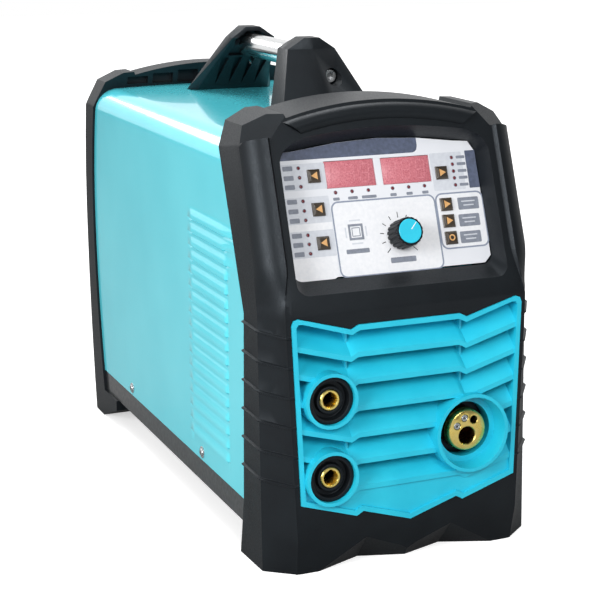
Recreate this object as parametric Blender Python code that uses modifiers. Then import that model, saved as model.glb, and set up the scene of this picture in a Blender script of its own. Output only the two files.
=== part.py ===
"""Portable MIG welding machine: moulded end bezels, sheet cover and wire-feed bay.

Frame: metres, +Z up, floor at Z = 0, X to the right seen from the front, front at -Y.
"""
import bpy
import bmesh
from math import atan, cos, sin, pi, radians
from mathutils import Matrix, Vector

for old in list(bpy.data.objects):
    bpy.data.objects.remove(old, do_unlink=True)

# ---------------------------------------------------------------- driving sizes
GAP = 0.0003            # clearance between pieces that seat on each other
SHEET = 0.0012          # steel sheet of cover and door
RUN = 0.00008           # radial running clearance of shafts

BODY_LENGTH = 0.4925    # front foot plane to the back of the rear bezel
COVER_HALF = 0.1198     # half width over the sheet cover
COVER_TOP = 0.3370      # flat top of the cover
COVER_BOTTOM = 0.0485   # lower edge of the cover
COVER_CORNER = 0.0220   # radius of the cover's long edges
CHASSIS_BOTTOM = 0.0284
CHASSIS_SHEET = 0.0015
CHASSIS_LIP = 0.0640    # top of the tray's inner lip

FRONT_LEAN = 0.04       # lean of the lower front, run per rise
PANEL_LEAN = 0.385      # lean of the control section
KINK_Z = 0.2090         # where the front starts to lean back
SEAM_DEPTH = 0.0480     # front plane to the cover seam at the kink
SEAM_KINK_Z = 0.2030
SEAM_LOW_Z = 0.0480     # below it the seam runs back faster
SEAM_LEAN = 0.418
BEZEL_TOP = 0.3625      # crown of the front arch
REAR_TOP = 0.3585       # crown of the rear arch
SIDE_RIB = 0.0022       # how far the fins round the lower corners stand out
SIDE_RIBS = 6
SIDE_RIB_PITCH = 0.0236
SIDE_RIB_TOP = 0.1947
RIB_HALF = 0.0007       # half the fin's flat crest, and the run of each flank
RIB_FLANK = 0.0006
COLUMN_IN = 0.0970      # inner edge of the half-round columns beside the panel
EAR_CUT = (0.0954, 0.1382)   # lower inner corner of the ear facet, across and up the leaning face
EAR_SINK = (0.61, 0.50)      # how fast the facet sinks, outward and upward

GRILLE_HALF = 0.09445   # half width at the lower corners
GRILLE_WIDEN = 0.04     # widening per unit of height
GRILLE_LOW = 0.0590     # lower corners
GRILLE_HIGH = 0.2077    # upper corners
GRILLE_RIM = 0.0038
GRILLE_DEPTH = 0.0200
GRILLE_PROUD = 0.0010
NOTCH_X = 0.0443        # inner end of the chevron notch
NOTCH_RUN = 0.0061
NOTCH_DROP = 0.0032
MID_TOP = 0.1981        # grille top between the notches
MID_LOW = 0.0472        # grille bottom at the notches
APEX_LOW = 0.0344       # bottom apex at the middle
BLADES = 5
BLADE_PITCH = 0.0216
BLADE_FIRST = 0.1765    # top of the first blade's front edge
BLADE_THICK = 0.0042
BLADE_RISE = 0.0165
CHEVRON_SLOPE = 0.28

DINSE_X = -0.0693
DINSE_Z = (0.1411, 0.0786)
DINSE_R = 0.0190        # socket body radius
EURO_X = 0.0540
EURO_Z = 0.0995
EURO_SEAT_R = 0.0225
EURO_FACE_R = 0.0174
EURO_MOUTH_R = 0.0295
EURO_FACE_OUT = -0.0040 # brass face behind the grille's plane
COLLAR_WALL = 0.0028
COLLAR_PROUD = 0.0060

PANEL_IN = 0.0170       # recess of the control panel behind the leaning face
PANEL_THICK = 0.0020
PANEL_HALF = 0.0880
PANEL_LOW = 0.0290      # measured up the leaning face from the kink
PANEL_SIDE = 0.1300
PANEL_CROWN = 0.1372
BUTTON_HALF = 0.0053
BUTTON_PROUD = 0.0016
BUTTON_TRAVEL = 0.0006
BUTTON_CLEAR = 0.0003
BUTTONS = (
    (-0.0576, 0.1098), (-0.0576, 0.0833), (-0.0576, 0.0566),
    (0.0542, 0.1050), (0.0542, 0.0790), (0.0542, 0.0654), (0.0542, 0.0516),
)
DISPLAY_SIZE = (0.0428, 0.0212)
DISPLAYS = ((-0.0261, 0.1100), (0.0232, 0.1097))
KNOB_AT = (0.0095, 0.0576)
KNOB_R = 0.0118
KNOB_HIGH = 0.0185
SHAFT_R = 0.0030

GRIP_Z = COVER_TOP + 0.0460
GRIP_R = 0.0108
LEDGE_Z = COVER_TOP + 0.0355        # ledge on the posts' inner faces, under the tube
BOLT_X = 0.0130

REAR_DEPTH = 0.0230     # rear bezel at its middle height
REAR_HALF = 0.1220
REAR_OPEN_HALF = 0.1010
REAR_OPEN_LOW = 0.0360
REAR_OPEN_HIGH = 0.3150
REAR_IN = 0.0150        # recess of the rear panel
REAR_FOOT_Y = 0.1620    # front end of the rear foot, under the tray
REAR_FOOT_LIFT = 0.0180
REAR_FOOT_REST = 0.2080
FAN_SIZE = 0.1200
FAN_THICK = 0.0250
GUARD_SLOT = 0.0055
FAN_X = -0.0350
FAN_Z = 0.1150
FAN_R = FAN_SIZE / 2 - 0.0040
SWITCH_AT = (0.0580, 0.2700)
SWITCH_HALF = (0.0140, 0.0110)
ROCKER_TILT = 8.0       # degrees off its middle at rest
GAS_AT = (0.0600, 0.0700)
GLAND_AT = (-0.0600, 0.2500)
GLAND_R = 0.0090

DOOR_FROM_SEAM = 0.0260 # door opening in the cover's right side, behind the front seam
DOOR_FROM_REAR = 0.0681 # and ahead of the rear bezel's back
DOOR_LOW = 0.0720
DOOR_HIGH = 0.3000
DOOR_SHOULDER = 0.2420  # where the front edge starts to follow the leaning seam
DOOR_CLEAR = 0.0008
HINGE_Z = (0.1150, 0.2550)
HINGE_R = 0.0020
HINGE_PIN_R = 0.0010
HINGE_LONG = 0.0300
LATCH_Z = (0.1250, 0.2250)
LATCH_R = 0.0085
LATCH_BACK = 0.0160     # latch axis behind the door's front edge
LOUVRES = 17
LOUVRE_PITCH = 0.01175
LOUVRE_TOP = 0.2620
LOUVRE_LONG = 0.0950
LOUVRE_FROM_SEAM = 0.0350
LOUVRE_OUT = 0.0020

PARTITION_X = -0.0120
PARTITION_FROM_REAR = 0.0781
POWER_BOARD = (-0.0900, 0.1400, 0.2700)   # front, rear and underside
BOARD_THICK = 0.0016
FIN_SPAN = 0.0720        # heatsink fins: spread, root and tip heights, and length
FIN_ROOT = 0.2020
FIN_TOP = 0.2550
FIN_RUN = (-0.1100, 0.0400)
CORE_AT = (-0.0600, -0.0900)
CORE_SIZE = 0.0600
CHOKE_AT = (-0.0600, -0.0150)
CHOKE_R = 0.0320
ROLL_WIDE = 0.0100
GUIDE_START = 0.0504     # the outlet guide starts behind the torch connector
DRIVE_R = 0.0150
IDLER_R = 0.0110
WIRE_R = 0.0004
FEED_FROM_SEAM = 0.0830
SPOOL_FROM_REAR = 0.1781
SPOOL_Z = 0.1900
SPOOL_HUB_R = 0.0250
SPOOL_AXLE_R = 0.0070
SPOOL_END_X = 0.1000

# ---------------------------------------------------------------- derived places
LOW_RIM_Z = DINSE_Z[1] - DINSE_R - GAP - COLLAR_WALL
OVERHANG = COLLAR_PROUD * cos(atan(FRONT_LEAN)) - LOW_RIM_Z * sin(atan(FRONT_LEAN))
FRONT_FOOT_Y = (OVERHANG - BODY_LENGTH) / 2
REAR_Y = FRONT_FOOT_Y + BODY_LENGTH
KINK_Y = FRONT_FOOT_Y + FRONT_LEAN * KINK_Z
SEAM_Y = KINK_Y + SEAM_DEPTH
DOOR_FRONT = SEAM_Y + DOOR_FROM_SEAM
DOOR_REAR = REAR_Y - DOOR_FROM_REAR
HINGE_Y = DOOR_REAR - DOOR_CLEAR
LOUVRE_FRONT = SEAM_Y + LOUVRE_FROM_SEAM
FEED_Y = SEAM_Y + FEED_FROM_SEAM
SPOOL_Y = REAR_Y - SPOOL_FROM_REAR
REAR_MID_Z = 0.215
REAR_REACH = 0.165       # height over which the rear bezel's upper part bends
REAR_BEND = (0.01387, 0.02314)   # how far its back bends, low and high
REAR_SEAM_BEND = (0.02912, 0.03267)
REAR_HEIGHTS = (0.0, CHASSIS_BOTTOM, 0.055, 0.085, 0.115, 0.150, 0.185, 0.215, 0.250, 0.285, 0.320, 0.380)


def front_y(z):
    """Front plane of the bezel at a height."""
    return FRONT_FOOT_Y + FRONT_LEAN * min(z, KINK_Z) + PANEL_LEAN * max(0, z - KINK_Z)


def seam_y(z):
    """Back face of the front bezel, where cover and chassis start."""
    low = 0.0212 * max(0, SEAM_KINK_Z - z) + 0.147 * max(0, SEAM_LOW_Z - z)
    return SEAM_Y + low + SEAM_LEAN * max(0, z - SEAM_KINK_Z)


def bend(z, depths):
    """Square-law bend away from mid height, by a depth below it and another above."""
    if z < REAR_MID_Z:
        return depths[0] * ((z - REAR_MID_Z) / REAR_MID_Z) ** 2
    return depths[1] * ((z - REAR_MID_Z) / REAR_REACH) ** 2


def rear_seam_y(z):
    """Front face of the rear bezel, bulged to the rear at mid height."""
    return REAR_Y - REAR_DEPTH - bend(z, REAR_SEAM_BEND)


def rear_y(z):
    """Back face of the rear bezel."""
    return REAR_Y - bend(z, REAR_BEND)


def lean_frame(y, z, lean):
    """Frame with X across, Y up a leaning face and Z out of it."""
    a = atan(lean)
    rows = ((1, 0, 0, 0), (0, sin(a), -cos(a), y), (0, cos(a), sin(a), z), (0, 0, 0, 1))
    return Matrix(rows)


PANEL_FRAME = lean_frame(KINK_Y, KINK_Z, PANEL_LEAN)
GRILLE_FRAME = lean_frame(FRONT_FOOT_Y, 0, FRONT_LEAN)
SIDE_FRAME = Matrix(((0, 0, 1, 0), (1, 0, 0, 0), (0, 1, 0, 0), (0, 0, 0, 1)))
CROSS_FRAME = Matrix(((1, 0, 0, 0), (0, 0, -1, 0), (0, 1, 0, 0), (0, 0, 0, 1)))

# ---------------------------------------------------------------- collections, looks
PART = bpy.data.collections.new("mig_welding_machine")
TOOLS = bpy.data.collections.new("cutters")
bpy.context.scene.collection.children.link(PART)
bpy.context.scene.collection.children.link(TOOLS)


def look(name, rgb, rough, metal=0.0):
    """Principled material."""
    mat = bpy.data.materials.new(name)
    mat.use_nodes = True
    shader = mat.node_tree.nodes["Principled BSDF"]
    shader.inputs["Base Color"].default_value = (*rgb, 1)
    shader.inputs["Roughness"].default_value = rough
    shader.inputs["Metallic"].default_value = metal
    return mat


PAINT = look("cyan_paint", (0.07, 0.60, 0.75), 0.25)
CYAN = look("cyan_plastic", (0.03, 0.53, 0.68), 0.4)
BLACK = look("black_plastic", (0.03, 0.035, 0.04), 0.5)
DARK = look("black_powder_coat", (0.02, 0.02, 0.022), 0.45)
WHITE = look("panel_foil", (0.72, 0.74, 0.77), 0.35)
RED = look("red_filter", (0.45, 0.08, 0.1), 0.2)
BRASS = look("brass", (0.85, 0.62, 0.22), 0.25, 1.0)
CHROME = look("bright_tube", (0.8, 0.82, 0.84), 0.15, 1.0)
STEEL = look("zinc_steel", (0.6, 0.6, 0.6), 0.35, 1.0)
ALUMINIUM = look("aluminium", (0.7, 0.7, 0.72), 0.4, 1.0)
BOARD = look("circuit_board", (0.02, 0.16, 0.06), 0.5)
COPPER = look("lacquered_copper", (0.55, 0.2, 0.08), 0.35, 0.8)


# ---------------------------------------------------------------- shape helpers
def place(name, mesh, mat=None):
    """Object for a mesh; without a material it is a cutter."""
    obj = bpy.data.objects.new(name, mesh)
    if mat is None:
        TOOLS.objects.link(obj)
        obj.hide_render = True
        obj.display_type = "WIRE"
    else:
        PART.objects.link(obj)
        mesh.materials.clear()
        mesh.materials.append(mat)
    return obj


def from_bmesh(name, bm, mat=None, frame=None):
    """Finish a bmesh, turning its faces outward."""
    if frame is not None:
        bmesh.ops.transform(bm, matrix=frame, verts=bm.verts)
    bmesh.ops.recalc_face_normals(bm, faces=bm.faces)
    mesh = bpy.data.meshes.new(name)
    bm.to_mesh(mesh)
    bm.free()
    return place(name, mesh, mat)


def box(name, low, high, mat=None, frame=None):
    """Box between two corners."""
    bm = bmesh.new()
    bmesh.ops.create_cube(bm, size=1)
    size = [high[i] - low[i] for i in range(3)]
    mid = [(high[i] + low[i]) / 2 for i in range(3)]
    bmesh.ops.scale(bm, vec=size, verts=bm.verts)
    bmesh.ops.translate(bm, vec=mid, verts=bm.verts)
    return from_bmesh(name, bm, mat, frame)


def turn_to(axis):
    """Rotation that takes Z to an axis."""
    return Vector((0, 0, 1)).rotation_difference(Vector(axis)).to_matrix().to_4x4()


def rod(name, start, axis, radius, length, mat=None, sides=24, end_radius=None, frame=None):
    """Cylinder or cone from a start point along an axis."""
    bm = bmesh.new()
    tip = radius if end_radius is None else end_radius
    bmesh.ops.create_cone(bm, cap_ends=True, segments=sides, radius1=radius, radius2=tip, depth=length)
    bmesh.ops.translate(bm, vec=(0, 0, length / 2), verts=bm.verts)
    bmesh.ops.transform(bm, matrix=Matrix.Translation(start) @ turn_to(axis), verts=bm.verts)
    return from_bmesh(name, bm, mat, frame)


def plate(name, outlines, low, high, frame, mat=None):
    """Flat outlines, holes included, filled and given a thickness along the frame's Z."""
    curve = bpy.data.curves.new(name, "CURVE")
    curve.dimensions = "2D"
    curve.fill_mode = "BOTH"
    curve.extrude = (high - low) / 2
    for points in outlines:
        line = curve.splines.new("POLY")
        line.points.add(len(points) - 1)
        for spot, (x, y) in zip(line.points, points):
            spot.co = (x, y, 0, 1)
        line.use_cyclic_u = True
    guide = bpy.data.objects.new(name + "_outline", curve)
    bpy.context.scene.collection.objects.link(guide)
    bpy.context.view_layer.update()
    solid = guide.evaluated_get(bpy.context.evaluated_depsgraph_get())
    mesh = bpy.data.meshes.new_from_object(solid)
    bpy.data.objects.remove(guide, do_unlink=True)
    bm = bmesh.new()
    bm.from_mesh(mesh)
    bpy.data.meshes.remove(mesh)
    bmesh.ops.remove_doubles(bm, verts=bm.verts, dist=0.000002)
    bmesh.ops.translate(bm, vec=(0, 0, (low + high) / 2), verts=bm.verts)
    return from_bmesh(name, bm, mat, frame)


def loft(name, sections, mat=None, frame=None):
    """Skin through sections with the same number of points, capped at both ends."""
    bm = bmesh.new()
    rings = [[bm.verts.new(p) for p in ring] for ring in sections]
    count = len(rings[0])
    for one, two in zip(rings, rings[1:]):
        for i in range(count):
            j = (i + 1) % count
            bm.faces.new((one[i], one[j], two[j], two[i]))
    bm.faces.new(rings[0])
    bm.faces.new(rings[-1])
    return from_bmesh(name, bm, mat, frame)


def turned(name, profile, mat, frame, sides=28):
    """Screw of a profile (radius, height) about the frame's Z; a profile off the axis is a closed ring."""
    mesh = bpy.data.meshes.new(name)
    points = [(r, 0, h) for r, h in profile]
    edges = [(i, i + 1) for i in range(len(points) - 1)]
    if profile[0][0] > 0:
        edges.append((len(points) - 1, 0))
    mesh.from_pydata(points, edges, [])
    obj = place(name, mesh, mat)
    obj.matrix_world = frame
    screw = obj.modifiers.new("turn", "SCREW")
    screw.axis = "Z"
    screw.angle = 2 * pi
    screw.steps = sides
    screw.render_steps = sides
    screw.use_merge_vertices = True
    screw.merge_threshold = 0.00001
    return obj


def hull(name, points, mat=None):
    """Convex solid on its corner points."""
    bm = bmesh.new()
    for p in points:
        bm.verts.new(p)
    bmesh.ops.convex_hull(bm, input=bm.verts)
    return from_bmesh(name, bm, mat)


def combine(obj, other, operation):
    """Boolean with a cutter or a piece to fuse."""
    mod = obj.modifiers.new(operation.lower(), "BOOLEAN")
    mod.operation = operation
    mod.solver = "EXACT"
    mod.object = other
    return obj


def cut(obj, *others):
    """Take cutters out of a piece."""
    for other in others:
        combine(obj, other, "DIFFERENCE")
    return obj


def fuse(obj, *others):
    """Add solids to a piece."""
    for other in others:
        combine(obj, other, "UNION")
    return obj


def round_shade(obj):
    """Smooth shading with sharp edges kept."""
    obj.data.shade_smooth()
    obj.data.set_sharp_from_angle(angle=radians(35))
    return obj


def circle(x, y, r, sides=24, turn=0.0):
    """Points round a circle."""
    return [(x + r * cos(turn + 2 * pi * i / sides), y + r * sin(turn + 2 * pi * i / sides))
            for i in range(sides)]


def rectangle(x, y, half_x, half_y):
    """Corners of a rectangle about a middle."""
    return [(x - half_x, y - half_y), (x + half_x, y - half_y), (x + half_x, y + half_y), (x - half_x, y + half_y)]


def mirrored(points):
    """Closed symmetric outline from its right half, listed top to bottom."""
    return list(points) + [(-x, y) for x, y in reversed(points) if abs(x) > 1e-7]


# ---------------------------------------------------------------- front bezel
def rib_tops():
    """Heights of the thin fins round the lower corners."""
    return [SIDE_RIB_TOP - k * SIDE_RIB_PITCH for k in range(SIDE_RIBS)]


def side_rib(z):
    """How far the fins stand out at a height."""
    near = min(abs(z - top) for top in rib_tops())
    return SIDE_RIB * min(1, max(0, (RIB_HALF + RIB_FLANK - near) / RIB_FLANK))


def rib_heights():
    """Heights of the loft rings, floor to top."""
    heights = [0.0, CHASSIS_BOTTOM, SEAM_LOW_Z, SEAM_KINK_Z, KINK_Z + 0.010, KINK_Z + 0.045, BEZEL_TOP + 0.0375]
    for top in rib_tops():
        for side in (-1, 1):
            heights += [top + side * RIB_HALF, top + side * (RIB_HALF + RIB_FLANK)]
    return sorted(heights)


def bezel_ring(z):
    """Horizontal section of the front bezel: flank, corner chamfer or column, and front face."""
    blend = min(1, max(0, (z - KINK_Z + 0.004) / 0.040))
    foot = max(0, 1 - z / 0.03)
    rib = side_rib(z)
    face = front_y(z)
    half = COVER_HALF
    edge = (half - 0.0015, face + 0.024 - 0.005 * blend)
    low_x = grille_half(z) + 0.0035
    crease = (low_x + (COLUMN_IN - low_x) * blend, face + 0.0005 * (1 - blend) + 0.006 * foot)
    inner = (crease[0] - 0.0040, face + 0.006 * foot)
    ring = [(half + rib, seam_y(z)), (edge[0] + 0.9 * rib, edge[1] - 0.4 * rib)]
    for k in range(1, 5):
        t = k / 5
        flat = (edge[0] + (crease[0] - edge[0]) * t, edge[1] + (crease[1] - edge[1]) * t)
        bulge = (crease[0] + (edge[0] - crease[0]) * cos(t * pi / 2),
                 edge[1] - (edge[1] - crease[1] + 0.0035) * sin(t * pi / 2))
        x = flat[0] * (1 - blend) + bulge[0] * blend + 0.75 * rib
        ring.append((x, flat[1] * (1 - blend) + bulge[1] * blend - 0.66 * rib))
    ring += [(crease[0] + 0.0006, crease[1] - 0.0012 * blend - 0.4 * rib), (crease[0], crease[1] - 0.4 * rib), inner]
    whole = ring + [(-x, y) for x, y in reversed(ring)]
    return [(x, y, z) for x, y in whole]


def arch(half, crown, radius, steps=8):
    """Right half of a shallow arch, from the crown outward."""
    out = []
    for k in range(steps + 1):
        x = half * k / steps
        out.append((x, crown - radius + (radius ** 2 - x ** 2) ** 0.5))
    return out


ARCH_R = 0.3230
EAR_IN = 0.0810
EAR_UP = 0.0030


def bezel_outline(half, crown, foot=0.0):
    """Front view of a bezel: arch, ears, chamfered shoulders and straight sides."""
    top = arch(EAR_IN, crown, ARCH_R)
    ear = top[-1][1] + EAR_UP
    shoulder = crown - 0.0355
    side = [(EAR_IN + 0.0012, ear), (0.0930, ear - 0.0006), (0.1110, crown - 0.0165),
            (0.1196, shoulder), (half, shoulder - 0.006), (half, foot)]
    return mirrored(top + side)


def recess_ring(depth, half, low, side, crown, grow=0.0):
    """Outline of the control recess at a depth, in the leaning frame."""
    h = half + grow
    right = [(0, crown + grow), (0.036, crown - 0.0018 + grow), (h - 0.018, crown - 0.0062 + grow),
             (h - 0.0055, side + grow), (h - 0.0005, side - 0.009), (h, low + 0.006),
             (h - 0.006, low - grow)]
    return [(x, y, -depth) for x, y in mirrored(right)]


def panel_outline(grow=0.0):
    """Outline of the control panel plate."""
    ring = recess_ring(0, PANEL_HALF, PANEL_LOW, PANEL_SIDE, PANEL_CROWN, grow)
    return [(x, y) for x, y, z in ring]


def grille_half(z):
    """Half width of the grille at a height."""
    return GRILLE_HALF + GRILLE_WIDEN * (z - GRILLE_LOW)


def grille_outline(grow=0.0):
    """Chevron outline of the grille, grown by a clearance or shrunk by a rim."""
    up = 1.15 * grow
    out = NOTCH_X + NOTCH_RUN
    right = [(0, MID_TOP + up), (NOTCH_X + 0.3 * grow, MID_TOP + up),
             (out + 0.1 * grow, MID_TOP - NOTCH_DROP + up),
             (grille_half(GRILLE_HIGH) - 0.0055 + grow, GRILLE_HIGH - 0.0004 + up),
             (grille_half(GRILLE_HIGH) - 0.0018 + grow, GRILLE_HIGH - 0.0016 + 0.7 * up),
             (grille_half(GRILLE_HIGH) - 0.0002 + grow, GRILLE_HIGH - 0.0055 + 0.4 * up),
             (GRILLE_HALF + grow, GRILLE_LOW - 0.7 * up),
             (out - 0.0033 - 0.3 * grow, MID_LOW - NOTCH_DROP - up),
             (NOTCH_X - 0.0030 - 0.3 * grow, MID_LOW - up), (0, APEX_LOW - up)]
    return mirrored(right)


def foot_facets(side):
    """Two cutters that facet the lower front edge on one side of the middle."""
    front = FRONT_FOOT_Y - 0.02
    y0 = front_y(0.02) - 0.0005
    rows = [((0.000, 0.0140), (0.000, FRONT_FOOT_Y + 0.0100)),
            ((0.038, 0.0265), (0.037, FRONT_FOOT_Y + 0.0215)),
            ((0.077, 0.0030), (0.080, FRONT_FOOT_Y + 0.0050))]
    solids = []
    for k in range(2):
        points = []
        for (x, z), (xb, yb) in rows[k:k + 2]:
            points += [(side * x, y0, z), (side * x, front, z), (side * xb, yb, 0), (side * x, front, -0.01)]
            points += [(side * xb, yb + 0.0005, -0.002)]
        solids.append(hull("facet", points))
    return solids


def front_bezel():
    """Moulded front bezel."""
    body = loft("front_bezel", [bezel_ring(z) for z in rib_heights()], BLACK)
    outline = plate("bezel_view", [bezel_outline(COVER_HALF + 0.01, BEZEL_TOP, -0.01)], -0.05, 0.30, CROSS_FRAME)
    combine(body, outline, "INTERSECT")
    mouth = dict(half=0.0915, low=0.0150, side=0.1290, crown=0.1424)
    rings = []
    for depth, t in ((-0.030, -1.0), (0.0, 0.0), (PANEL_IN - 0.001, 0.94)):
        t = max(t, 0)
        mix = [mouth[k] * (1 - t) + v * t for k, v in (
            ("half", PANEL_HALF), ("low", PANEL_LOW), ("side", PANEL_SIDE), ("crown", PANEL_CROWN))]
        rings.append(recess_ring(depth, *mix, GAP))
    rings.append(recess_ring(PANEL_IN + 0.08, PANEL_HALF, PANEL_LOW, PANEL_SIDE, PANEL_CROWN, GAP))
    recess = loft("control_recess", rings, frame=PANEL_FRAME)
    opening = plate("grille_opening", [grille_outline(GAP)], -0.12, 0.03, GRILLE_FRAME)
    cut(body, recess, opening)
    for side in (-1, 1):
        cut(body, *foot_facets(side))
    fuse(body, arch_band())
    for side in (-1, 1):
        cut(body, *ear_cuts(side))
    return body


def ear_cuts(side):
    """Cutters for one ear: the sinking facet over the column, and the flat triangle that ends the band."""
    x0, v0 = EAR_CUT
    facet = []
    for v in (v0, v0 + 0.0318):
        inner = x0 - EAR_SINK[1] / EAR_SINK[0] * (v - v0)
        for x in (inner, COVER_HALF + 0.010):
            sink = -EAR_SINK[0] * (x - x0) - EAR_SINK[1] * (v - v0)
            facet += [(side * x, v, sink), (side * x, v, 0.030)]
    flat = []
    for x, v in ((0.0704, 0.1250), (0.0962, 0.1250), (0.0962, v0), (0.0862, 0.1511), (0.0704, 0.1404)):
        flat += [(side * x, v, 0.0001), (side * x, v, 0.030)]
    return [hull(name, [PANEL_FRAME @ Vector(p) for p in points])
            for name, points in (("ear_facet", facet), ("band_end", flat))]


def arch_band():
    """Half-round band under the arch's front edge, a tube on the leaning face."""
    curve = bpy.data.curves.new("arch_band", "CURVE")
    curve.dimensions = "3D"
    curve.bevel_depth = 0.0078
    curve.bevel_resolution = 2
    curve.use_fill_caps = True
    line = curve.splines.new("POLY")
    spots = arch(0.0885, BEZEL_TOP - 0.0100, ARCH_R, 8)
    spots = [(-x, z) for x, z in reversed(spots)] + spots[1:]
    line.points.add(len(spots) - 1)
    for spot, (x, z) in zip(line.points, spots):
        spot.co = (x, front_y(z) + 0.0042, z, 1)
    guide = bpy.data.objects.new("arch_band", curve)
    bpy.context.scene.collection.objects.link(guide)
    bpy.context.view_layer.update()
    mesh = bpy.data.meshes.new_from_object(guide.evaluated_get(bpy.context.evaluated_depsgraph_get()))
    bpy.data.objects.remove(guide, do_unlink=True)
    bm = bmesh.new()
    bm.from_mesh(mesh)
    bmesh.ops.remove_doubles(bm, verts=bm.verts, dist=0.00001)
    return from_bmesh("arch_band", bm)


# ---------------------------------------------------------------- grille
def chevron(x):
    """Height offset of the blades across the width."""
    x = abs(x)
    if x <= NOTCH_X:
        return 0.0
    if x <= NOTCH_X + NOTCH_RUN:
        return -NOTCH_DROP * (x - NOTCH_X) / NOTCH_RUN
    return -NOTCH_DROP + CHEVRON_SLOPE * (x - NOTCH_X - NOTCH_RUN)


def blade(index):
    """Sloping chevron blade across the grille."""
    top = BLADE_FIRST - index * BLADE_PITCH
    reach = grille_half(top) - GRILLE_RIM / 2
    places = [reach, NOTCH_X + NOTCH_RUN, NOTCH_X]
    places = [-x for x in places] + places[::-1]
    sections = []
    for x in places:
        z = top + chevron(x)
        back = 0.002 - GRILLE_DEPTH
        sections.append([(x, z, 0), (x, z - BLADE_THICK, 0),
                         (x, z - BLADE_THICK + BLADE_RISE + 0.001, back), (x, z + BLADE_RISE, back)])
    return loft("blade", sections, frame=GRILLE_FRAME)


def grille():
    """Cyan front grille with chevron blades and three socket collars."""
    rim = [grille_outline(), grille_outline(-GRILLE_RIM)]
    body = plate("grille", rim, -GRILLE_DEPTH, GRILLE_PROUD, GRILLE_FRAME, CYAN)
    for k in range(BLADES + 1):
        fuse(body, blade(k))
    top = BLADE_FIRST - BLADES * BLADE_PITCH
    low = [(x, z) for x, z in grille_outline(-GRILLE_RIM / 2) if z < 0.07]
    low.sort(key=lambda p: -p[0])
    edge = [(x, top + chevron(x)) for x in (-0.0925, -0.0504, -0.0443, 0.0443, 0.0504, 0.0925)]
    edge = [(x, z - 0.0020) for x, z in edge]
    fuse(body, plate("apron", [edge + low], -0.0050, -0.0015, GRILLE_FRAME))
    for side in (-1, 1):
        x = side * (NOTCH_X + NOTCH_RUN)
        fuse(body, box("web", (x - 0.0009, 0.048, 0.001 - GRILLE_DEPTH), (x + 0.0009, MID_TOP - 0.004, -0.010),
                       frame=GRILLE_FRAME))
    for x, z, bore in collars():
        fuse(body, rod("collar", (x, z, -GRILLE_DEPTH), (0, 0, 1), bore + COLLAR_WALL,
                       GRILLE_DEPTH + COLLAR_PROUD, sides=32, frame=GRILLE_FRAME))
    for x, z, bore in collars():
        if bore == EURO_MOUTH_R:
            cut(body, rod("mouth", (x, z, -0.0085), (0, 0, 1), bore - 0.002, 0.02, sides=32,
                          end_radius=bore + 0.0008, frame=GRILLE_FRAME))
            bore = EURO_SEAT_R + GAP
        cut(body, rod("bore", (x, z, -0.03), (0, 0, 1), bore, 0.05, sides=32, frame=GRILLE_FRAME))
    return body


def collars():
    """Collar places and mouth radii."""
    small = DINSE_R + GAP
    return [(DINSE_X, z, small) for z in DINSE_Z] + [(EURO_X, EURO_Z, EURO_MOUTH_R)]


def at_grille(x, z, out=0.0):
    """Frame on the grille's plane with its Z out of the front."""
    return GRILLE_FRAME @ Matrix.Translation((x, z, out))


def cable_socket(name, z):
    """Black stepped socket body and its brass contact with a keyway."""
    r = DINSE_R
    core = 0.0083 + GAP
    profile = [(core, 0.0006), (0.0110, 0.0006), (0.0114, -0.0040), (r - 0.0040, -0.0040), (r - 0.0034, 0.0030),
               (r, 0.0026), (r, -0.0220), (0.0140, -0.0220), (0.0140, -0.0400), (core, -0.0400)]
    round_shade(turned(name + "_body", profile, BLACK, at_grille(DINSE_X, z)))
    ring = rod(name + "_contact", (DINSE_X, z, -0.0390), (0, 0, 1), 0.0083, 0.0400, BRASS, sides=28,
               frame=GRILLE_FRAME)
    hole = rod("bore", (DINSE_X, z, -0.0260), (0, 0, 1), 0.0062, 0.04, sides=24, frame=GRILLE_FRAME)
    key = box("key", (DINSE_X - 0.0018, z + 0.003, -0.0240), (DINSE_X + 0.0018, z + 0.0074, 0.01),
              frame=GRILLE_FRAME)
    cut(ring, hole, key)


def euro_connector():
    """Brass torch connector on its insulating seat."""
    frame = at_grille(EURO_X, EURO_Z)
    stem = 0.0150 + GAP
    profile = [(stem, -0.0105), (EURO_SEAT_R, -0.0105), (EURO_SEAT_R, -0.0240), (stem, -0.0240)]
    round_shade(turned("euro_seat", profile, BLACK, frame, 32))
    r = EURO_FACE_R
    face = EURO_FACE_OUT
    profile = [(0, face), (r - 0.0012, face), (r, face - 0.0012), (r, -0.0105 + GAP), (0.0150, -0.0105 + GAP),
               (0.0150, -0.0420), (0.0090, -0.0420), (0.0090, -0.0480), (0, -0.0480)]
    body = round_shade(turned("euro_connector", profile, BRASS, frame, 28))
    for dx, dz, hole, deep in ((0.0, -0.0046, 0.0074, 0.0240), (0.0060, 0.0080, 0.0034, 0.0160)):
        cut(body, rod("bore", (EURO_X + dx, EURO_Z + dz, face - deep), (0, 0, 1), hole, deep + 0.01, sides=20,
                      frame=GRILLE_FRAME))
    for k, (dx, dz) in enumerate(((-0.0022, 0.0102), (-0.0090, 0.0042))):
        spot = (EURO_X + dx, EURO_Z + dz)
        low = face - 0.0090
        cut(body, rod("bore", (*spot, low), (0, 0, 1), 0.0031, 0.02, sides=16, frame=GRILLE_FRAME))
        pin = rod("control_contact_" + str(k + 1), (*spot, low + GAP), (0, 0, 1), 0.0031 - GAP, 0.0090, STEEL,
                  sides=16, frame=GRILLE_FRAME)
        cut(pin, rod("bore", (*spot, face - 0.0030), (0, 0, 1), 0.0012, 0.01, sides=12, frame=GRILLE_FRAME))


# ---------------------------------------------------------------- control section
def on_panel(x, v, out=0.0):
    """Frame on the control panel's face with its Z out of the face."""
    return PANEL_FRAME @ Matrix.Translation((x, v, out - PANEL_IN))


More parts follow.
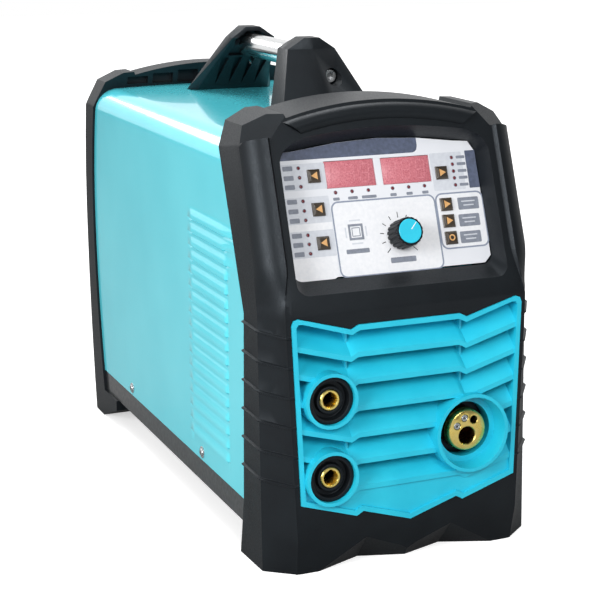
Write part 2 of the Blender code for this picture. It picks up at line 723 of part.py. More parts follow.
def control_panel():
    """Foil-faced panel plate with openings, and the board behind it."""
    hole = BUTTON_HALF + BUTTON_CLEAR
    lines = [panel_outline(-0.0002)]
    lines += [rectangle(x, v, hole, hole) for x, v in BUTTONS]
    w, h = DISPLAY_SIZE
    lines += [rectangle(x, v, w / 2 + GAP, h / 2 + GAP) for x, v in DISPLAYS]
    lines.append(circle(*KNOB_AT, SHAFT_R + 0.001, 16))
    face = -PANEL_IN
    plate("control_panel", lines, face - PANEL_THICK, face, PANEL_FRAME, WHITE)
    back = face - PANEL_THICK - 0.0090
    ring = [(x * 0.93, 0.083 + (v - 0.083) * 0.86) for x, v in panel_outline()]
    hole = circle(*KNOB_AT, SHAFT_R + 0.0006, 12)
    plate("control_board", [ring, hole], back - 0.0016, back, PANEL_FRAME, BOARD)


def display(name, x, v):
    """Red filter window set in the panel."""
    w, h = DISPLAY_SIZE
    low = (-w / 2, -h / 2, -PANEL_THICK - 0.0040)
    body = box(name, low, (w / 2, h / 2, -0.0006), RED, on_panel(x, v))
    return body


def button(index, x, v):
    """Square push button with a pyramid top and a retaining flange."""
    half = BUTTON_HALF
    back = -PANEL_THICK - GAP
    rings = [(half * 0.5, BUTTON_PROUD + 0.0008), (half, BUTTON_PROUD - 0.0002), (half, back),
             (half + 0.0012, back), (half + 0.0012, back - 0.0012)]
    sections = [[(a, b, h) for a, b in rectangle(0, 0, r, r)] for r, h in rings]
    obj = loft("button_" + str(index), sections, BLACK)
    obj.matrix_world = on_panel(x, v)


def knob():
    """Fluted knob, coloured cap and encoder."""
    frame = on_panel(*KNOB_AT)
    points = []
    for k in range(18):
        for part, r in ((0.0, KNOB_R), (0.60, KNOB_R), (0.80, KNOB_R - 0.0008)):
            a = 2 * pi * (k + part) / 18
            points.append((r * cos(a), r * sin(a)))
    skirt = plate("knob", [points], 0.0010, KNOB_HIGH, Matrix.Identity(4), BLACK)
    skirt.matrix_world = frame
    seat = rod("bore", (0, 0, KNOB_HIGH - 0.0012), (0, 0, 1), KNOB_R - 0.0018, 0.01, sides=32, frame=frame)
    socket = rod("bore", (0, 0, -0.005), (0, 0, 1), SHAFT_R + GAP, 0.0165, sides=16, frame=frame)
    cut(skirt, seat, socket)
    cap = rod("knob_cap", (0, 0, KNOB_HIGH - 0.0012 + GAP), (0, 0, 1), KNOB_R - 0.0018 - GAP, 0.0015, CYAN,
              sides=32)
    cap.matrix_world = frame
    back = -PANEL_THICK
    body = box("encoder", (-0.006, -0.006, back - 0.0060), (0.006, 0.006, back - GAP), STEEL, frame)
    shaft = rod("shaft", (0, 0, back - 0.003), (0, 0, 1), SHAFT_R, 0.0115 - back, sides=16, frame=frame)
    fuse(body, shaft)


# ---------------------------------------------------------------- cover, door, chassis
def side_profile(clear=GAP):
    """Side view of the space between the two bezels."""
    points = [(seam_y(z) + clear, z) for z in (0.0, SEAM_LOW_Z, SEAM_KINK_Z, 0.380)]
    points += [(rear_seam_y(z) - clear, z) for z in reversed(REAR_HEIGHTS)]
    return points


def cover_path(inset=0.0):
    """Cross-section line of the cover, left foot over the top to right foot."""
    half = COVER_HALF - inset
    top = COVER_TOP - inset
    r = COVER_CORNER - inset
    right = [(0.050, top), (half - r, top - 0.0018)]
    for k in range(1, 6):
        a = pi / 2 * (1 - k / 5)
        right.append((half - r + r * cos(a), top - 0.0018 - r + r * sin(a)))
    right.append((half, COVER_BOTTOM))
    return [(-x, z) for x, z in reversed(right)] + right


def cover():
    """Sheet cover with pressed louvres and the door opening."""
    path = cover_path()
    bm = bmesh.new()
    rows = [[bm.verts.new((x, y, z)) for x, z in path] for y in (-0.230, 0.260)]
    for i in range(len(path) - 1):
        bm.faces.new((rows[0][i], rows[0][i + 1], rows[1][i + 1], rows[1][i]))
    shell = from_bmesh("cover", bm, PAINT)
    skin = shell.modifiers.new("sheet", "SOLIDIFY")
    skin.thickness = SHEET
    skin.offset = -1
    if shell.data.polygons[len(path) // 2].normal.z < 0:
        skin.offset = 1
    combine(shell, plate("cover_side", [side_profile()], -0.2, 0.2, SIDE_FRAME), "INTERSECT")
    cut(shell, plate("door_way", [door_outline(0.0, DOOR_REAR)], 0.08, 0.15, SIDE_FRAME))
    for z in HINGE_Z:
        half = HINGE_LONG / 2 + DOOR_CLEAR
        cut(shell, box("hinge_notch", (0.10, HINGE_Y - 0.001, z - half), (0.15, HINGE_Y + HINGE_R + 0.0014, z + half)))
    for k in range(LOUVRES):
        fuse(shell, louvre(k))
    return shell


def louvre(index):
    """Pressed half-cone louvre on the left side, deepest at its lower lip."""
    z = LOUVRE_TOP - index * LOUVRE_PITCH
    x = -COVER_HALF
    y0 = LOUVRE_FRONT
    y1 = LOUVRE_FRONT + LOUVRE_LONG
    deep = x + SHEET / 2
    out = x - LOUVRE_OUT
    points = [(deep, y0, z + 0.002), (deep, y1, z + 0.0035), (deep, y1 - 0.002, z - 0.0045),
              (deep, y0 + 0.002, z - 0.0055), (out, y0 + 0.004, z - 0.0040), (out, y0 + 0.004, z - 0.0020),
              (out + 0.0008, y1 - 0.010, z - 0.0030), (out + 0.0008, y1 - 0.010, z - 0.0010)]
    return hull("louvre", points)


def chassis():
    """Black sheet tray with outer walls and an inner lip."""
    t = CHASSIS_SHEET
    wall = COVER_HALF - 0.0004
    step = COVER_BOTTOM - GAP - 0.0004
    lip = COVER_HALF - SHEET - GAP
    right = [(0, CHASSIS_BOTTOM), (wall, CHASSIS_BOTTOM), (wall, step), (lip, step), (lip, CHASSIS_LIP),
             (lip - t, CHASSIS_LIP), (lip - t, step - t), (wall - t, step - t), (wall - t, CHASSIS_BOTTOM + t),
             (0, CHASSIS_BOTTOM + t)]
    outline = right + [(-x, z) for x, z in reversed(right[1:-1])]
    body = plate("chassis", [outline], -0.26, 0.26, CROSS_FRAME, DARK)
    combine(body, plate("chassis_side", [side_profile()], -0.2, 0.2, SIDE_FRAME), "INTERSECT")
    return body


def door_outline(inset, rear):
    """Side view of the door or its opening, its front edge following the bezel seam."""
    front = DOOR_FRONT + inset
    low = DOOR_LOW + inset
    high = DOOR_HIGH - inset
    back = front + SEAM_LEAN * (high - DOOR_SHOULDER)
    return [(front, low), (rear, low), (rear, high), (back, high), (front, DOOR_SHOULDER)]


def side_door():
    """Hinged sheet door with a folded stiffening flange."""
    c = DOOR_CLEAR
    axis_y = HINGE_Y
    x0 = COVER_HALF - SHEET
    door = plate("side_door", [door_outline(c, axis_y)], x0, COVER_HALF, SIDE_FRAME, PAINT)
    rim = door_outline(0.0280, axis_y - 0.020)
    hollow = door_outline(0.0280 + SHEET, axis_y - 0.020 - SHEET)
    fuse(door, plate("flange", [rim], x0 - 0.0060, x0 + 0.0005, SIDE_FRAME))
    cut(door, plate("flange_in", [hollow], x0 - 0.02, x0, SIDE_FRAME))
    for z in LATCH_Z:
        cut(door, rod("bore", (0.10, latch_y(), z), (1, 0, 0), 0.0042, 0.05, sides=20))
    third = HINGE_LONG / 3
    for z in HINGE_Z:
        cut(door, box("hinge_gap", (x0 - 0.01, axis_y - HINGE_R - c, z - HINGE_LONG / 2 - c),
                      (COVER_HALF + 0.01, axis_y + 0.01, z + HINGE_LONG / 2 + c)))
        leaf = box("leaf", (COVER_HALF - HINGE_R * 0.8, axis_y - HINGE_R - 0.004, z - third / 2 + GAP),
                   (COVER_HALF, axis_y, z + third / 2 - GAP))
        knuckle = rod("knuckle", (COVER_HALF, axis_y, z - third / 2 + GAP), (0, 0, 1), HINGE_R, third - 2 * GAP,
                      sides=16)
        fuse(door, leaf, knuckle)
        cut(door, rod("bore", (COVER_HALF, axis_y, z - 0.03), (0, 0, 1), HINGE_PIN_R + RUN, 0.06, sides=16))
    move_origin(door, (COVER_HALF, axis_y, (DOOR_LOW + DOOR_HIGH) / 2))
    hinges(axis_y)


def hinges(axis_y):
    """Fixed halves of the two hinges, with their pins."""
    third = HINGE_LONG / 3
    for name, z in zip(("hinge_lower", "hinge_upper"), HINGE_Z):
        x = COVER_HALF
        pin = rod(name, (x, axis_y, z - HINGE_LONG / 2), (0, 0, 1), HINGE_PIN_R, HINGE_LONG, STEEL, sides=16)
        for low in (z - HINGE_LONG / 2, z + third / 2 + GAP):
            fuse(pin, rod("knuckle", (x, axis_y, low), (0, 0, 1), HINGE_R, third - GAP, sides=16))
            fuse(pin, box("tab", (x - SHEET - GAP - 0.0015, axis_y - 0.0003, low + 0.0001),
                          (x - 0.0006, axis_y + HINGE_R + 0.0010, low + third - GAP - 0.0001)))
        fuse(pin, box("leaf", (x - SHEET - GAP - 0.0016, axis_y + HINGE_R + 0.0006, z - HINGE_LONG / 2),
                      (x - SHEET - GAP, axis_y + 0.0200, z + HINGE_LONG / 2)))


def latch_y():
    """Latch axis behind the door's front edge."""
    return DOOR_FRONT + LATCH_BACK


def latch(name, z):
    """Quarter-turn fastener: slotted head outside, tongue inside."""
    x = COVER_HALF
    y = latch_y()
    head = rod(name, (x + GAP, y, z), (1, 0, 0), LATCH_R, 0.0019, STEEL, sides=28)
    slot = box("slot", (x + 0.0011, y - 0.0011, z - 0.0065), (x + 0.01, y + 0.0011, z + 0.0065))
    stem = rod("stem", (x - 0.0060, y, z), (1, 0, 0), 0.0038, 0.0066, sides=20)
    back = x - SHEET - 0.0012
    tongue = box("tongue", (back - 0.0020, y - 0.0045, z - 0.0060), (back, y + 0.0045, z + 0.0240))
    fuse(head, stem, tongue)
    cut(head, slot)
    move_origin(head, (x, y, z))


def move_origin(obj, spot):
    """Put a mesh object's origin on its joint without moving its shape."""
    obj.data.transform(Matrix.Translation(-Vector(spot)))
    obj.location = spot


# ---------------------------------------------------------------- rear end
def rear_bezel():
    """Moulded rear bezel with ears, arch, side bumps and a panel opening."""
    view = bezel_outline(REAR_HALF, REAR_TOP)
    body = plate("rear_bezel", [view], -REAR_Y - 0.02, -REAR_Y + 0.11, CROSS_FRAME, BLACK)
    profile = [(rear_y(z), z) for z in REAR_HEIGHTS]
    front = [(rear_seam_y(z), z) for z in reversed(REAR_HEIGHTS) if z > CHASSIS_BOTTOM]
    tray = CHASSIS_BOTTOM - GAP
    front += [(rear_seam_y(tray), tray), (REAR_FOOT_Y, tray), (REAR_FOOT_Y, REAR_FOOT_LIFT), (REAR_FOOT_REST, 0.0)]
    combine(body, plate("rear_side", [profile + front], -0.2, 0.2, SIDE_FRAME), "INTERSECT")
    half = REAR_OPEN_HALF
    hole = [(half, REAR_OPEN_LOW + 0.010), (half - 0.010, REAR_OPEN_LOW), (-half + 0.010, REAR_OPEN_LOW),
            (-half, REAR_OPEN_LOW + 0.010), (-half, REAR_OPEN_HIGH - 0.020), (-half + 0.020, REAR_OPEN_HIGH),
            (half - 0.020, REAR_OPEN_HIGH), (half, REAR_OPEN_HIGH - 0.020)]
    cut(body, plate("rear_hole", [hole], -0.30, 0.0, CROSS_FRAME))
    for k in range(7):
        x = -0.078 + 0.026 * k
        z = REAR_TOP - 0.0045 - abs(x) * 0.10
        front_face = rear_seam_y(0.345)
        cut(body, box("pocket", (x - 0.0105, 0.10, COVER_TOP + 0.0020), (x + 0.0105, front_face + 0.007, z)))
    return body


def arc_slot(x, z, r0, r1, start, end, steps=5):
    """Outline of a curved slot."""
    outer = [start + (end - start) * k / steps for k in range(steps + 1)]
    points = [(x + r1 * cos(a), z + r1 * sin(a)) for a in outer]
    points += [(x + r0 * cos(a), z + r0 * sin(a)) for a in reversed(outer)]
    return points


def rear_panel():
    """Rear sheet panel with a stamped fan guard and holes for what it carries."""
    half = REAR_OPEN_HALF - GAP
    low = REAR_OPEN_LOW + GAP
    high = REAR_OPEN_HIGH - GAP
    lines = [[(half, low + 0.010), (half - 0.010, low), (-half + 0.010, low), (-half, low + 0.010),
              (-half, high - 0.020), (-half + 0.020, high), (half - 0.020, high), (half, high - 0.020)]]
    for middle, count in ((0.317, 4), (0.504, 4), (0.692, 4), (0.880, 4)):
        r0 = FAN_R * middle - GUARD_SLOT / 2
        r1 = FAN_R * middle + GUARD_SLOT / 2
        for k in range(count):
            start = 2 * pi * k / count + 0.004 / r1 + pi / 4
            end = 2 * pi * (k + 1) / count - 0.004 / r1 + pi / 4
            lines.append(arc_slot(FAN_X, FAN_Z, r0, r1, start, end, 4 + int(r1 * 80)))
    lines.append(rectangle(*SWITCH_AT, SWITCH_HALF[0] + GAP, SWITCH_HALF[1] + GAP))
    lines.append(circle(*GAS_AT, 0.0050 + GAP, 16))
    lines.append(circle(*GLAND_AT, GLAND_R + GAP, 20))
    face = rear_panel_y()
    plate("rear_panel", lines, -face, -face + 0.0015, CROSS_FRAME, DARK)


def rear_panel_y():
    """Outer face of the rear panel."""
    return REAR_Y - REAR_IN


def fan():
    """Axial fan: square frame and a seven-bladed rotor."""
    back = rear_panel_y() - 0.0015 - GAP
    h = FAN_SIZE / 2
    c = 0.008
    ring = [(FAN_X + x, FAN_Z + z) for x, z in ((h, h - c), (h - c, h), (-h + c, h), (-h, h - c), (-h, -h + c),
                                                (-h + c, -h), (h - c, -h), (h, -h + c))]
    lines = [ring, circle(FAN_X, FAN_Z, FAN_R + 0.0015, 32)]
    frame = plate("fan_frame", lines, -back, -back + FAN_THICK, CROSS_FRAME, DARK)
    front = back - FAN_THICK
    fuse(frame, rod("motor_mount", (FAN_X, front, FAN_Z), (0, 1, 0), 0.0190, 0.0035, sides=24))
    cut(frame, rod("bore", (FAN_X, front + 0.0010, FAN_Z), (0, 1, 0), 0.0020 + RUN, 0.0040, sides=16))
    for turn in (pi / 4, 3 * pi / 4, 5 * pi / 4, 7 * pi / 4):
        end = (FAN_X + (FAN_R + 0.003) * cos(turn), front + 0.0018, FAN_Z + (FAN_R + 0.003) * sin(turn))
        fuse(frame, rod("strut", end, (-cos(turn), 0, -sin(turn)), 0.0014, FAN_R - 0.008, sides=6))
    middle = (FAN_X, front + 0.0135, FAN_Z)
    rotor = rod("fan_rotor", (FAN_X, front + 0.0050, FAN_Z), (0, 1, 0), 0.0200, 0.0180, BLACK, sides=28)
    fuse(rotor, rod("shaft", (FAN_X, front + 0.0015, FAN_Z), (0, 1, 0), 0.0020, 0.0060, sides=16))
    for k in range(7):
        fuse(rotor, fan_blade(Matrix.Translation(middle) @ Matrix.Rotation(2 * pi * k / 7, 4, "Y")))
    move_origin(rotor, middle)


def fan_blade(frame):
    """Twisted blade from the hub outward."""
    sections = []
    for r, pitch, width in ((0.0185, 0.95, 0.0150), (0.0380, 0.75, 0.0200), (FAN_R - 0.0006, 0.60, 0.0240)):
        across = Vector((sin(pitch), cos(pitch), 0)) * width / 2 * 0.85
        thick = Vector((cos(pitch), -sin(pitch), 0)) * 0.0007
        base = Vector((0, 0, r))
        sections.append([base + across + thick, base - across + thick, base - across - thick,
                         base + across - thick])
    return loft("blade", sections, frame=frame)


def rear_fittings():
    """Rocker switch, gas nipple and mains gland on the rear panel."""
    face = rear_panel_y()
    x, z = SWITCH_AT
    w, h = SWITCH_HALF
    frame = box("switch_frame", (x - w, face - 0.0180, z - h), (x + w, face + 0.0020, z + h), BLACK)
    fuse(frame, box("bezel", (x - w - 0.0015, face + GAP, z - h - 0.0015), (x + w + 0.0015, face + 0.002,
                                                                          z + h + 0.0015)))
    cut(frame, box("well", (x - w + 0.002, face - 0.0100, z - h + 0.002), (x + w - 0.002, face + 0.01,
                                                                        z + h - 0.002)))
    rocker_shape = [(-0.0082, 0.0030), (0.0, 0.0012), (0.0082, 0.0030), (0.0070, -0.0040), (0, -0.0062),
                    (-0.0070, -0.0040)]
    across = Matrix(((0, 0, 1, 0), (0, 1, 0, 0), (1, 0, 0, 0), (0, 0, 0, 1)))
    tilt = Matrix.Rotation(radians(-ROCKER_TILT), 4, "X")
    rocker = plate("rocker", [rocker_shape], -w + 0.0024, w - 0.0024, tilt @ across, BLACK)
    rocker.location = (x, face, z)
    x, z = GAS_AT
    hole = 0.0018
    nipple = [(hole, 0.0130), (0.0030, 0.0130), (0.0040, 0.0090), (0.0032, 0.0090), (0.0042, 0.0050),
              (0.0034, 0.0050), (0.0034, 0.0035), (0.0080, 0.0035), (0.0080, GAP), (0.0050, GAP),
              (0.0050, -0.0100), (hole, -0.0100)]
    out = Matrix.Translation((x, face, z)) @ turn_to((0, 1, 0))
    round_shade(turned("gas_inlet", nipple, BRASS, out, 16))
    x, z = GLAND_AT
    r = GLAND_R
    hole = 0.0050
    gland = [(hole, 0.0125), (0.0075, 0.0125), (0.0090, 0.0080), (r + 0.0030, 0.0075), (r + 0.0030, GAP), (r, GAP),
             (r, -0.0080), (hole, -0.0080)]
    out = Matrix.Translation((x, face, z)) @ turn_to((0, 1, 0))
    round_shade(turned("mains_gland", gland, BLACK, out, 20))


# ---------------------------------------------------------------- handle
POST_FOOT = COVER_TOP + GAP
POST_FRONT = (
    (POST_FOOT, (0.0440, -0.0570), (0.0440, -0.0860), -0.0930),
    (COVER_TOP + 0.0538, (0.0220, -0.0225), (0.0220, -0.0445), -0.0480),
    (COVER_TOP + 0.0633, (0.0070, -0.0265), (0.0070, -0.0455), -0.0460),
)
POST_REAR = (
    (POST_FOOT, (0.0366, 0.1465), (0.0435, 0.1560), 0.1650),
    (COVER_TOP + 0.0535, (0.0210, 0.0897), (0.0210, 0.1080), 0.1120),
    (COVER_TOP + 0.0633, (0.0070, 0.0915), (0.0070, 0.1115), 0.1120),
)
POST_SHIFT = (SEAM_Y + 0.1880, REAR_Y - 0.2481)   # the posts keep to their ends of the machine
GRIP_ENDS = (POST_SHIFT[0] - 0.0380, POST_SHIFT[1] + 0.1030)
BOLT_FLOORS = (POST_SHIFT[0] - 0.0500, POST_SHIFT[1] + 0.1200)
BOLT_Z = COVER_TOP + 0.0310


def post_inner_y(levels, z):
    """Inner face of a post at a height."""
    low, mid, top = levels
    one, two = (low, mid) if z <= mid[0] else (mid, top)
    share = (z - one[0]) / (two[0] - one[0])
    return one[1][1] + (two[1][1] - one[1][1]) * share


def handle_post(name, levels, side):
    """Leaning plastic post with a ledge and tapered pockets inside; side is +1 for the rear one."""
    sections = []
    for z, inner, outer, crease in levels:
        ring = [inner, outer, (0, crease), (-outer[0], outer[1]), (-inner[0], inner[1])]
        sections.append([(x, y + post_shift(side), z) for x, y in ring])
    post = loft(name, sections, BLACK)
    recess = []
    for x, z in ((0.0185, LEDGE_Z), (0.0175, GRIP_Z + 0.0060), (0.0060, GRIP_Z + 0.0135)):
        y = post_inner_y(levels, z) + post_shift(side)
        for out in (y - side * 0.012, y + side * 0.004):
            recess += [(x, out, z), (-x, out, z)]
    cut(post, hull("ledge", recess))
    end = GRIP_ENDS[0] if side < 0 else GRIP_ENDS[1]
    cut(post, rod("grip_seat", (0, end - side * 0.06, GRIP_Z), (0, side, 0), GRIP_R + GAP, 0.06 + GAP, sides=24))
    for k in range(4):
        x = 0.0135 * (k - 1.5)
        points = []
        for dx, z in ((-0.0038, LEDGE_Z - 0.0020), (0.0038, LEDGE_Z - 0.0020), (0.0, COVER_TOP + 0.0050)):
            y = post_inner_y(levels, z) + post_shift(side)
            points += [(x + dx, y - side * 0.012, z), (x + dx, y + side * 0.0045, z)]
        cut(post, hull("pocket", points))
    cut(post, rod("bolt_hole", (BOLT_X, bolt_y(side), BOLT_Z), (0, side, 0), 0.0062, 0.06, sides=16))
    return post


def post_shift(side):
    """How far a post follows its end of the machine."""
    return POST_SHIFT[0] if side < 0 else POST_SHIFT[1]


def bolt_y(side):
    """Floor of the bolt hole in a post's outer face."""
    return BOLT_FLOORS[0] if side < 0 else BOLT_FLOORS[1]


def handle():
    """Two posts and the bright tube between them."""
    handle_post("handle_post_front", POST_FRONT, -1)
    handle_post("handle_post_rear", POST_REAR, 1)
    rod("handle_tube", (0, GRIP_ENDS[0], GRIP_Z), (0, 1, 0), GRIP_R, GRIP_ENDS[1] - GRIP_ENDS[0], CHROME, sides=24)
    for name, side in (("handle_bolt_front", -1), ("handle_bolt_rear", 1)):
        y = bolt_y(side) + side * GAP
        bolt = rod(name, (BOLT_X, y, BOLT_Z), (0, side, 0), 0.0056, 0.0050, STEEL, sides=16)
        cut(bolt, rod("hex", (BOLT_X, y + side * 0.0025, BOLT_Z), (0, side, 0), 0.0028, 0.01, sides=6))


# ---------------------------------------------------------------- wire-feed bay
def partition():
    """Sheet wall between the electronics and the wire-feed bay."""
    low = CHASSIS_BOTTOM + CHASSIS_SHEET + GAP
    high = COVER_TOP - SHEET - GAP
    clear = 0.0060
    end = REAR_Y - PARTITION_FROM_REAR
    outline = [(seam_y(low) + clear, low), (seam_y(SEAM_KINK_Z) + clear, SEAM_KINK_Z), (seam_y(high) + clear, high),
               (end, high), (end, low)]
    plate("partition", [outline], PARTITION_X - 0.0012, PARTITION_X, SIDE_FRAME, STEEL)


def spool_holder():
    """Fixed axle, turning hub with flange and the brake nut."""
    x0 = PARTITION_X + GAP
    end = SPOOL_END_X
    axle = rod("spool_axle", (x0, SPOOL_Y, SPOOL_Z), (1, 0, 0), SPOOL_AXLE_R, end - x0, STEEL)
    fuse(axle, rod("foot", (x0, SPOOL_Y, SPOOL_Z), (1, 0, 0), 0.0260, 0.0040, sides=28))
    low = x0 + 0.0040 + GAP
    y, z = SPOOL_Y, SPOOL_Z
    hub = rod("spool_hub", (low, y, z), (1, 0, 0), SPOOL_HUB_R, 0.0850, BLACK, sides=28)
    fuse(hub, rod("flange", (low, y, z), (1, 0, 0), 0.0400, 0.0040, sides=32))
    fuse(hub, box("drive_pin", (low + 0.001, y + 0.0255, z - 0.0030), (low + 0.0150, y + 0.0345, z + 0.0030)))
    cut(hub, rod("bore", (low - 0.01, y, z), (1, 0, 0), SPOOL_AXLE_R + RUN, 0.2, sides=24))
    move_origin(hub, (0, y, z))
    nut_x = low + 0.0850 + GAP
    nut = rod("brake_nut", (nut_x, SPOOL_Y, SPOOL_Z), (1, 0, 0), 0.0130, 0.0070, BLACK, sides=8)
    cut(nut, rod("bore", (nut_x - 0.01, SPOOL_Y, SPOOL_Z), (1, 0, 0), SPOOL_AXLE_R + GAP, 0.05, sides=24))


FEED_X = (0.0340, 0.0440)
ARM_PIVOT = (-0.0300, 0.0240)   # from the drive line, in Y and Z


def feed_unit():
    """Feed plate, motor, rolls, pressure arm with its tension knob and the guides."""
    y, z = FEED_Y, EURO_Z
    x0, x1 = FEED_X
    body = box("feed_plate", (x0, y - 0.0400, z - 0.0450), (x1, y + 0.0400, z + 0.0110), ALUMINIUM)
    pivot = (y + ARM_PIVOT[0], z + ARM_PIVOT[1])
    fuse(body, box("ear", (x0, pivot[0] - 0.0080, z + 0.005), (x1, pivot[0] + 0.0080, pivot[1] + 0.0070)))
    shaft_z = z - WIRE_R - DRIVE_R
    cut(body, rod("bore", (x0 - 0.01, y, shaft_z), (1, 0, 0), 0.0040 + RUN, 0.05, sides=20))
    pin_x = x1 + 0.0230
    fuse(body, rod("pivot_pin", (x1 - 0.002, *pivot), (1, 0, 0), 0.0030, pin_x - x1 + 0.002, sides=16))
    motor = rod("feed_motor", (PARTITION_X + GAP, y, shaft_z), (1, 0, 0), 0.0260,
                x0 - GAP - PARTITION_X - GAP, DARK, sides=28)
    cut(motor, rod("bore", (x0 - 0.012, y, shaft_z), (1, 0, 0), 0.0040 + 2 * RUN, 0.05, sides=20))
    roll_x = EURO_X - ROLL_WIDE / 2
    drive = grooved_roll("drive_roll", (roll_x, y, shaft_z), DRIVE_R)
    fuse(drive, rod("shaft", (x0 - 0.010, y, shaft_z), (1, 0, 0), 0.0040,
                    roll_x + ROLL_WIDE + 0.005 - x0 + 0.010, sides=20))
    idler_z = z + WIRE_R + IDLER_R
    grooved_roll("idler_roll", (roll_x, y, idler_z), IDLER_R, 0.0030 + RUN)
    pressure_arm(pivot, (y, idler_z), x1)
    guides(y, z, x1)


def grooved_roll(name, spot, radius, bore=0.0):
    """Roll with a vee groove in the middle of its width."""
    w = ROLL_WIDE
    g = 0.0006
    profile = [(bore, w), (radius - 0.0008, w), (radius, w - 0.0008), (radius, w / 2 + g), (radius - g, w / 2),
               (radius, w / 2 - g), (radius, 0.0008), (radius - 0.0008, 0), (bore, 0)]
    return round_shade(turned(name, profile, STEEL, Matrix.Translation(spot) @ turn_to((1, 0, 0)), 24))


def pressure_arm(pivot, axle, x1):
    """Swinging arm that carries the idler roll, with its tension knob."""
    side = x1 + GAP
    outline = [(-0.0070, -0.0062), (0.0002, -0.0077), (0.0190, -0.0090), (0.0250, -0.0172), (0.0350, -0.0172),
               (0.0420, -0.0060), (0.0640, 0.0), (0.0640, 0.0080), (0.0300, 0.0090), (0.0002, 0.0077),
               (-0.0070, 0.0062)]
    thick = EURO_X - ROLL_WIDE / 2 - GAP - side
    py, pz = pivot
    outline = [(py + a, pz + b) for a, b in outline]
    arm = plate("pressure_arm", [outline], side, side + thick, SIDE_FRAME, ALUMINIUM)
    fuse(arm, rod("idler_pin", (side + 0.001, *axle), (1, 0, 0), 0.0030, thick + ROLL_WIDE + 0.0030, sides=16))
    fuse(arm, box("knob_block", (side + 0.001, py + 0.0500, pz), (side + 0.0170, py + 0.0635, pz + 0.0086)))
    fuse(arm, rod("boss", (side + 0.0015, *pivot), (1, 0, 0), 0.0056, 0.0140, sides=16))
    cut(arm, rod("bore", (side - 0.01, *pivot), (1, 0, 0), 0.0030 + RUN, 0.05, sides=20))
    move_origin(arm, (0, *pivot))
    x = side + 0.0085
    spot = (x, py + 0.0570, pz + 0.0086 + GAP)
    grip = rod("tension_knob", (x, spot[1], spot[2] + 0.0080), (0, 0, 1), 0.0085, 0.0200, BLACK, sides=10)
    fuse(grip, rod("spring_sleeve", spot, (0, 0, 1), 0.0045, 0.009, sides=16))
    move_origin(grip, spot)


def guides(y, z, x1):
    """Wire guides before and behind the rolls, clamped to the feed plate."""
    for name, low, high in (("wire_guide_in", y + 0.0210, y + 0.0500), ("wire_guide_out", front_y(z) + GUIDE_START, y - 0.0210)):
        tube = rod(name, (EURO_X, low, z), (0, 1, 0), 0.0032, high - low, BRASS, sides=16)
        near = low if name.endswith("in") else high
        step = 0.0100 if name.endswith("in") else -0.0100
        ends = sorted((near, near + step))
        fuse(tube, box("clamp", (x1 + GAP, ends[0], z - 0.0050), (EURO_X, ends[1], z + 0.0030)))
        cut(tube, rod("bore", (EURO_X, low - 0.01, z), (0, 1, 0), 0.0012, high - low + 0.02, sides=12))


# ---------------------------------------------------------------- power electronics
def electronics():
    """Main board, finned heatsink, transformer and output choke."""
    base = CHASSIS_BOTTOM + CHASSIS_SHEET + GAP
    right = PARTITION_X - 0.0012 - 0.006
    y0, y1, low = POWER_BOARD
    box("power_board", (-COVER_HALF + 0.0118, y0, low), (right, y1, low + BOARD_THICK), BOARD)
    fins = []
    x0, width, count = -COVER_HALF + 0.0198, FIN_SPAN, 9
    pitch = width / (count - 1)
    for k in range(count):
        x = x0 + k * pitch
        fins += [(x - 0.0008, FIN_ROOT), (x - 0.0008, FIN_TOP), (x + 0.0008, FIN_TOP), (x + 0.0008, FIN_ROOT)]
    fins += [(x0 + width + 0.0008, FIN_ROOT - 0.0060), (x0 - 0.0008, FIN_ROOT - 0.0060)]
    plate("heatsink", [fins], *FIN_RUN, CROSS_FRAME, ALUMINIUM)
    x, y = CORE_AT
    h = CORE_SIZE / 2
    core = box("transformer", (x - h, y - h, base), (x + h, y + h, base + 2 * h), DARK)
    fuse(core, rod("winding", (x - h - 0.007, y, base + h), (1, 0, 0), h - 0.005, 2 * h + 0.014, sides=20))
    spot = (*CHOKE_AT, base)
    coil = rod("output_choke", spot, (0, 0, 1), CHOKE_R, 0.0420, COPPER, sides=24)
    cut(coil, rod("bore", (*CHOKE_AT, base - 0.01), (0, 0, 1), 0.0140, 0.1, sides=20))


# ---------------------------------------------------------------- build
front_bezel()
grille()
for socket_name, height in zip(("socket_upper", "socket_lower"), DINSE_Z):
    cable_socket(socket_name, height)
euro_connector()
control_panel()
for window_name, spot in zip(("display_left", "display_right"), DISPLAYS):
    display(window_name, *spot)
for number, spot in enumerate(BUTTONS):
    button(number + 1, *spot)
knob()
cover()
chassis()
side_door()
for latch_name, height in zip(("latch_lower", "latch_upper"), LATCH_Z):
    latch(latch_name, height)
rear_bezel()
rear_panel()
fan()
rear_fittings()
handle()
partition()
spool_holder()
feed_unit()
electronics()
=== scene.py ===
# %% [markdown]
# # A portable MIG welding machine
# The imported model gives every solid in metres, in one fixed frame: X across, Y from the
# front to the rear, Z up. This lesson dresses that model. Shapes that carry the look are
# worked out again with numpy, finer than the solids they stand for, and the rest keep their
# solid and get a real finish.

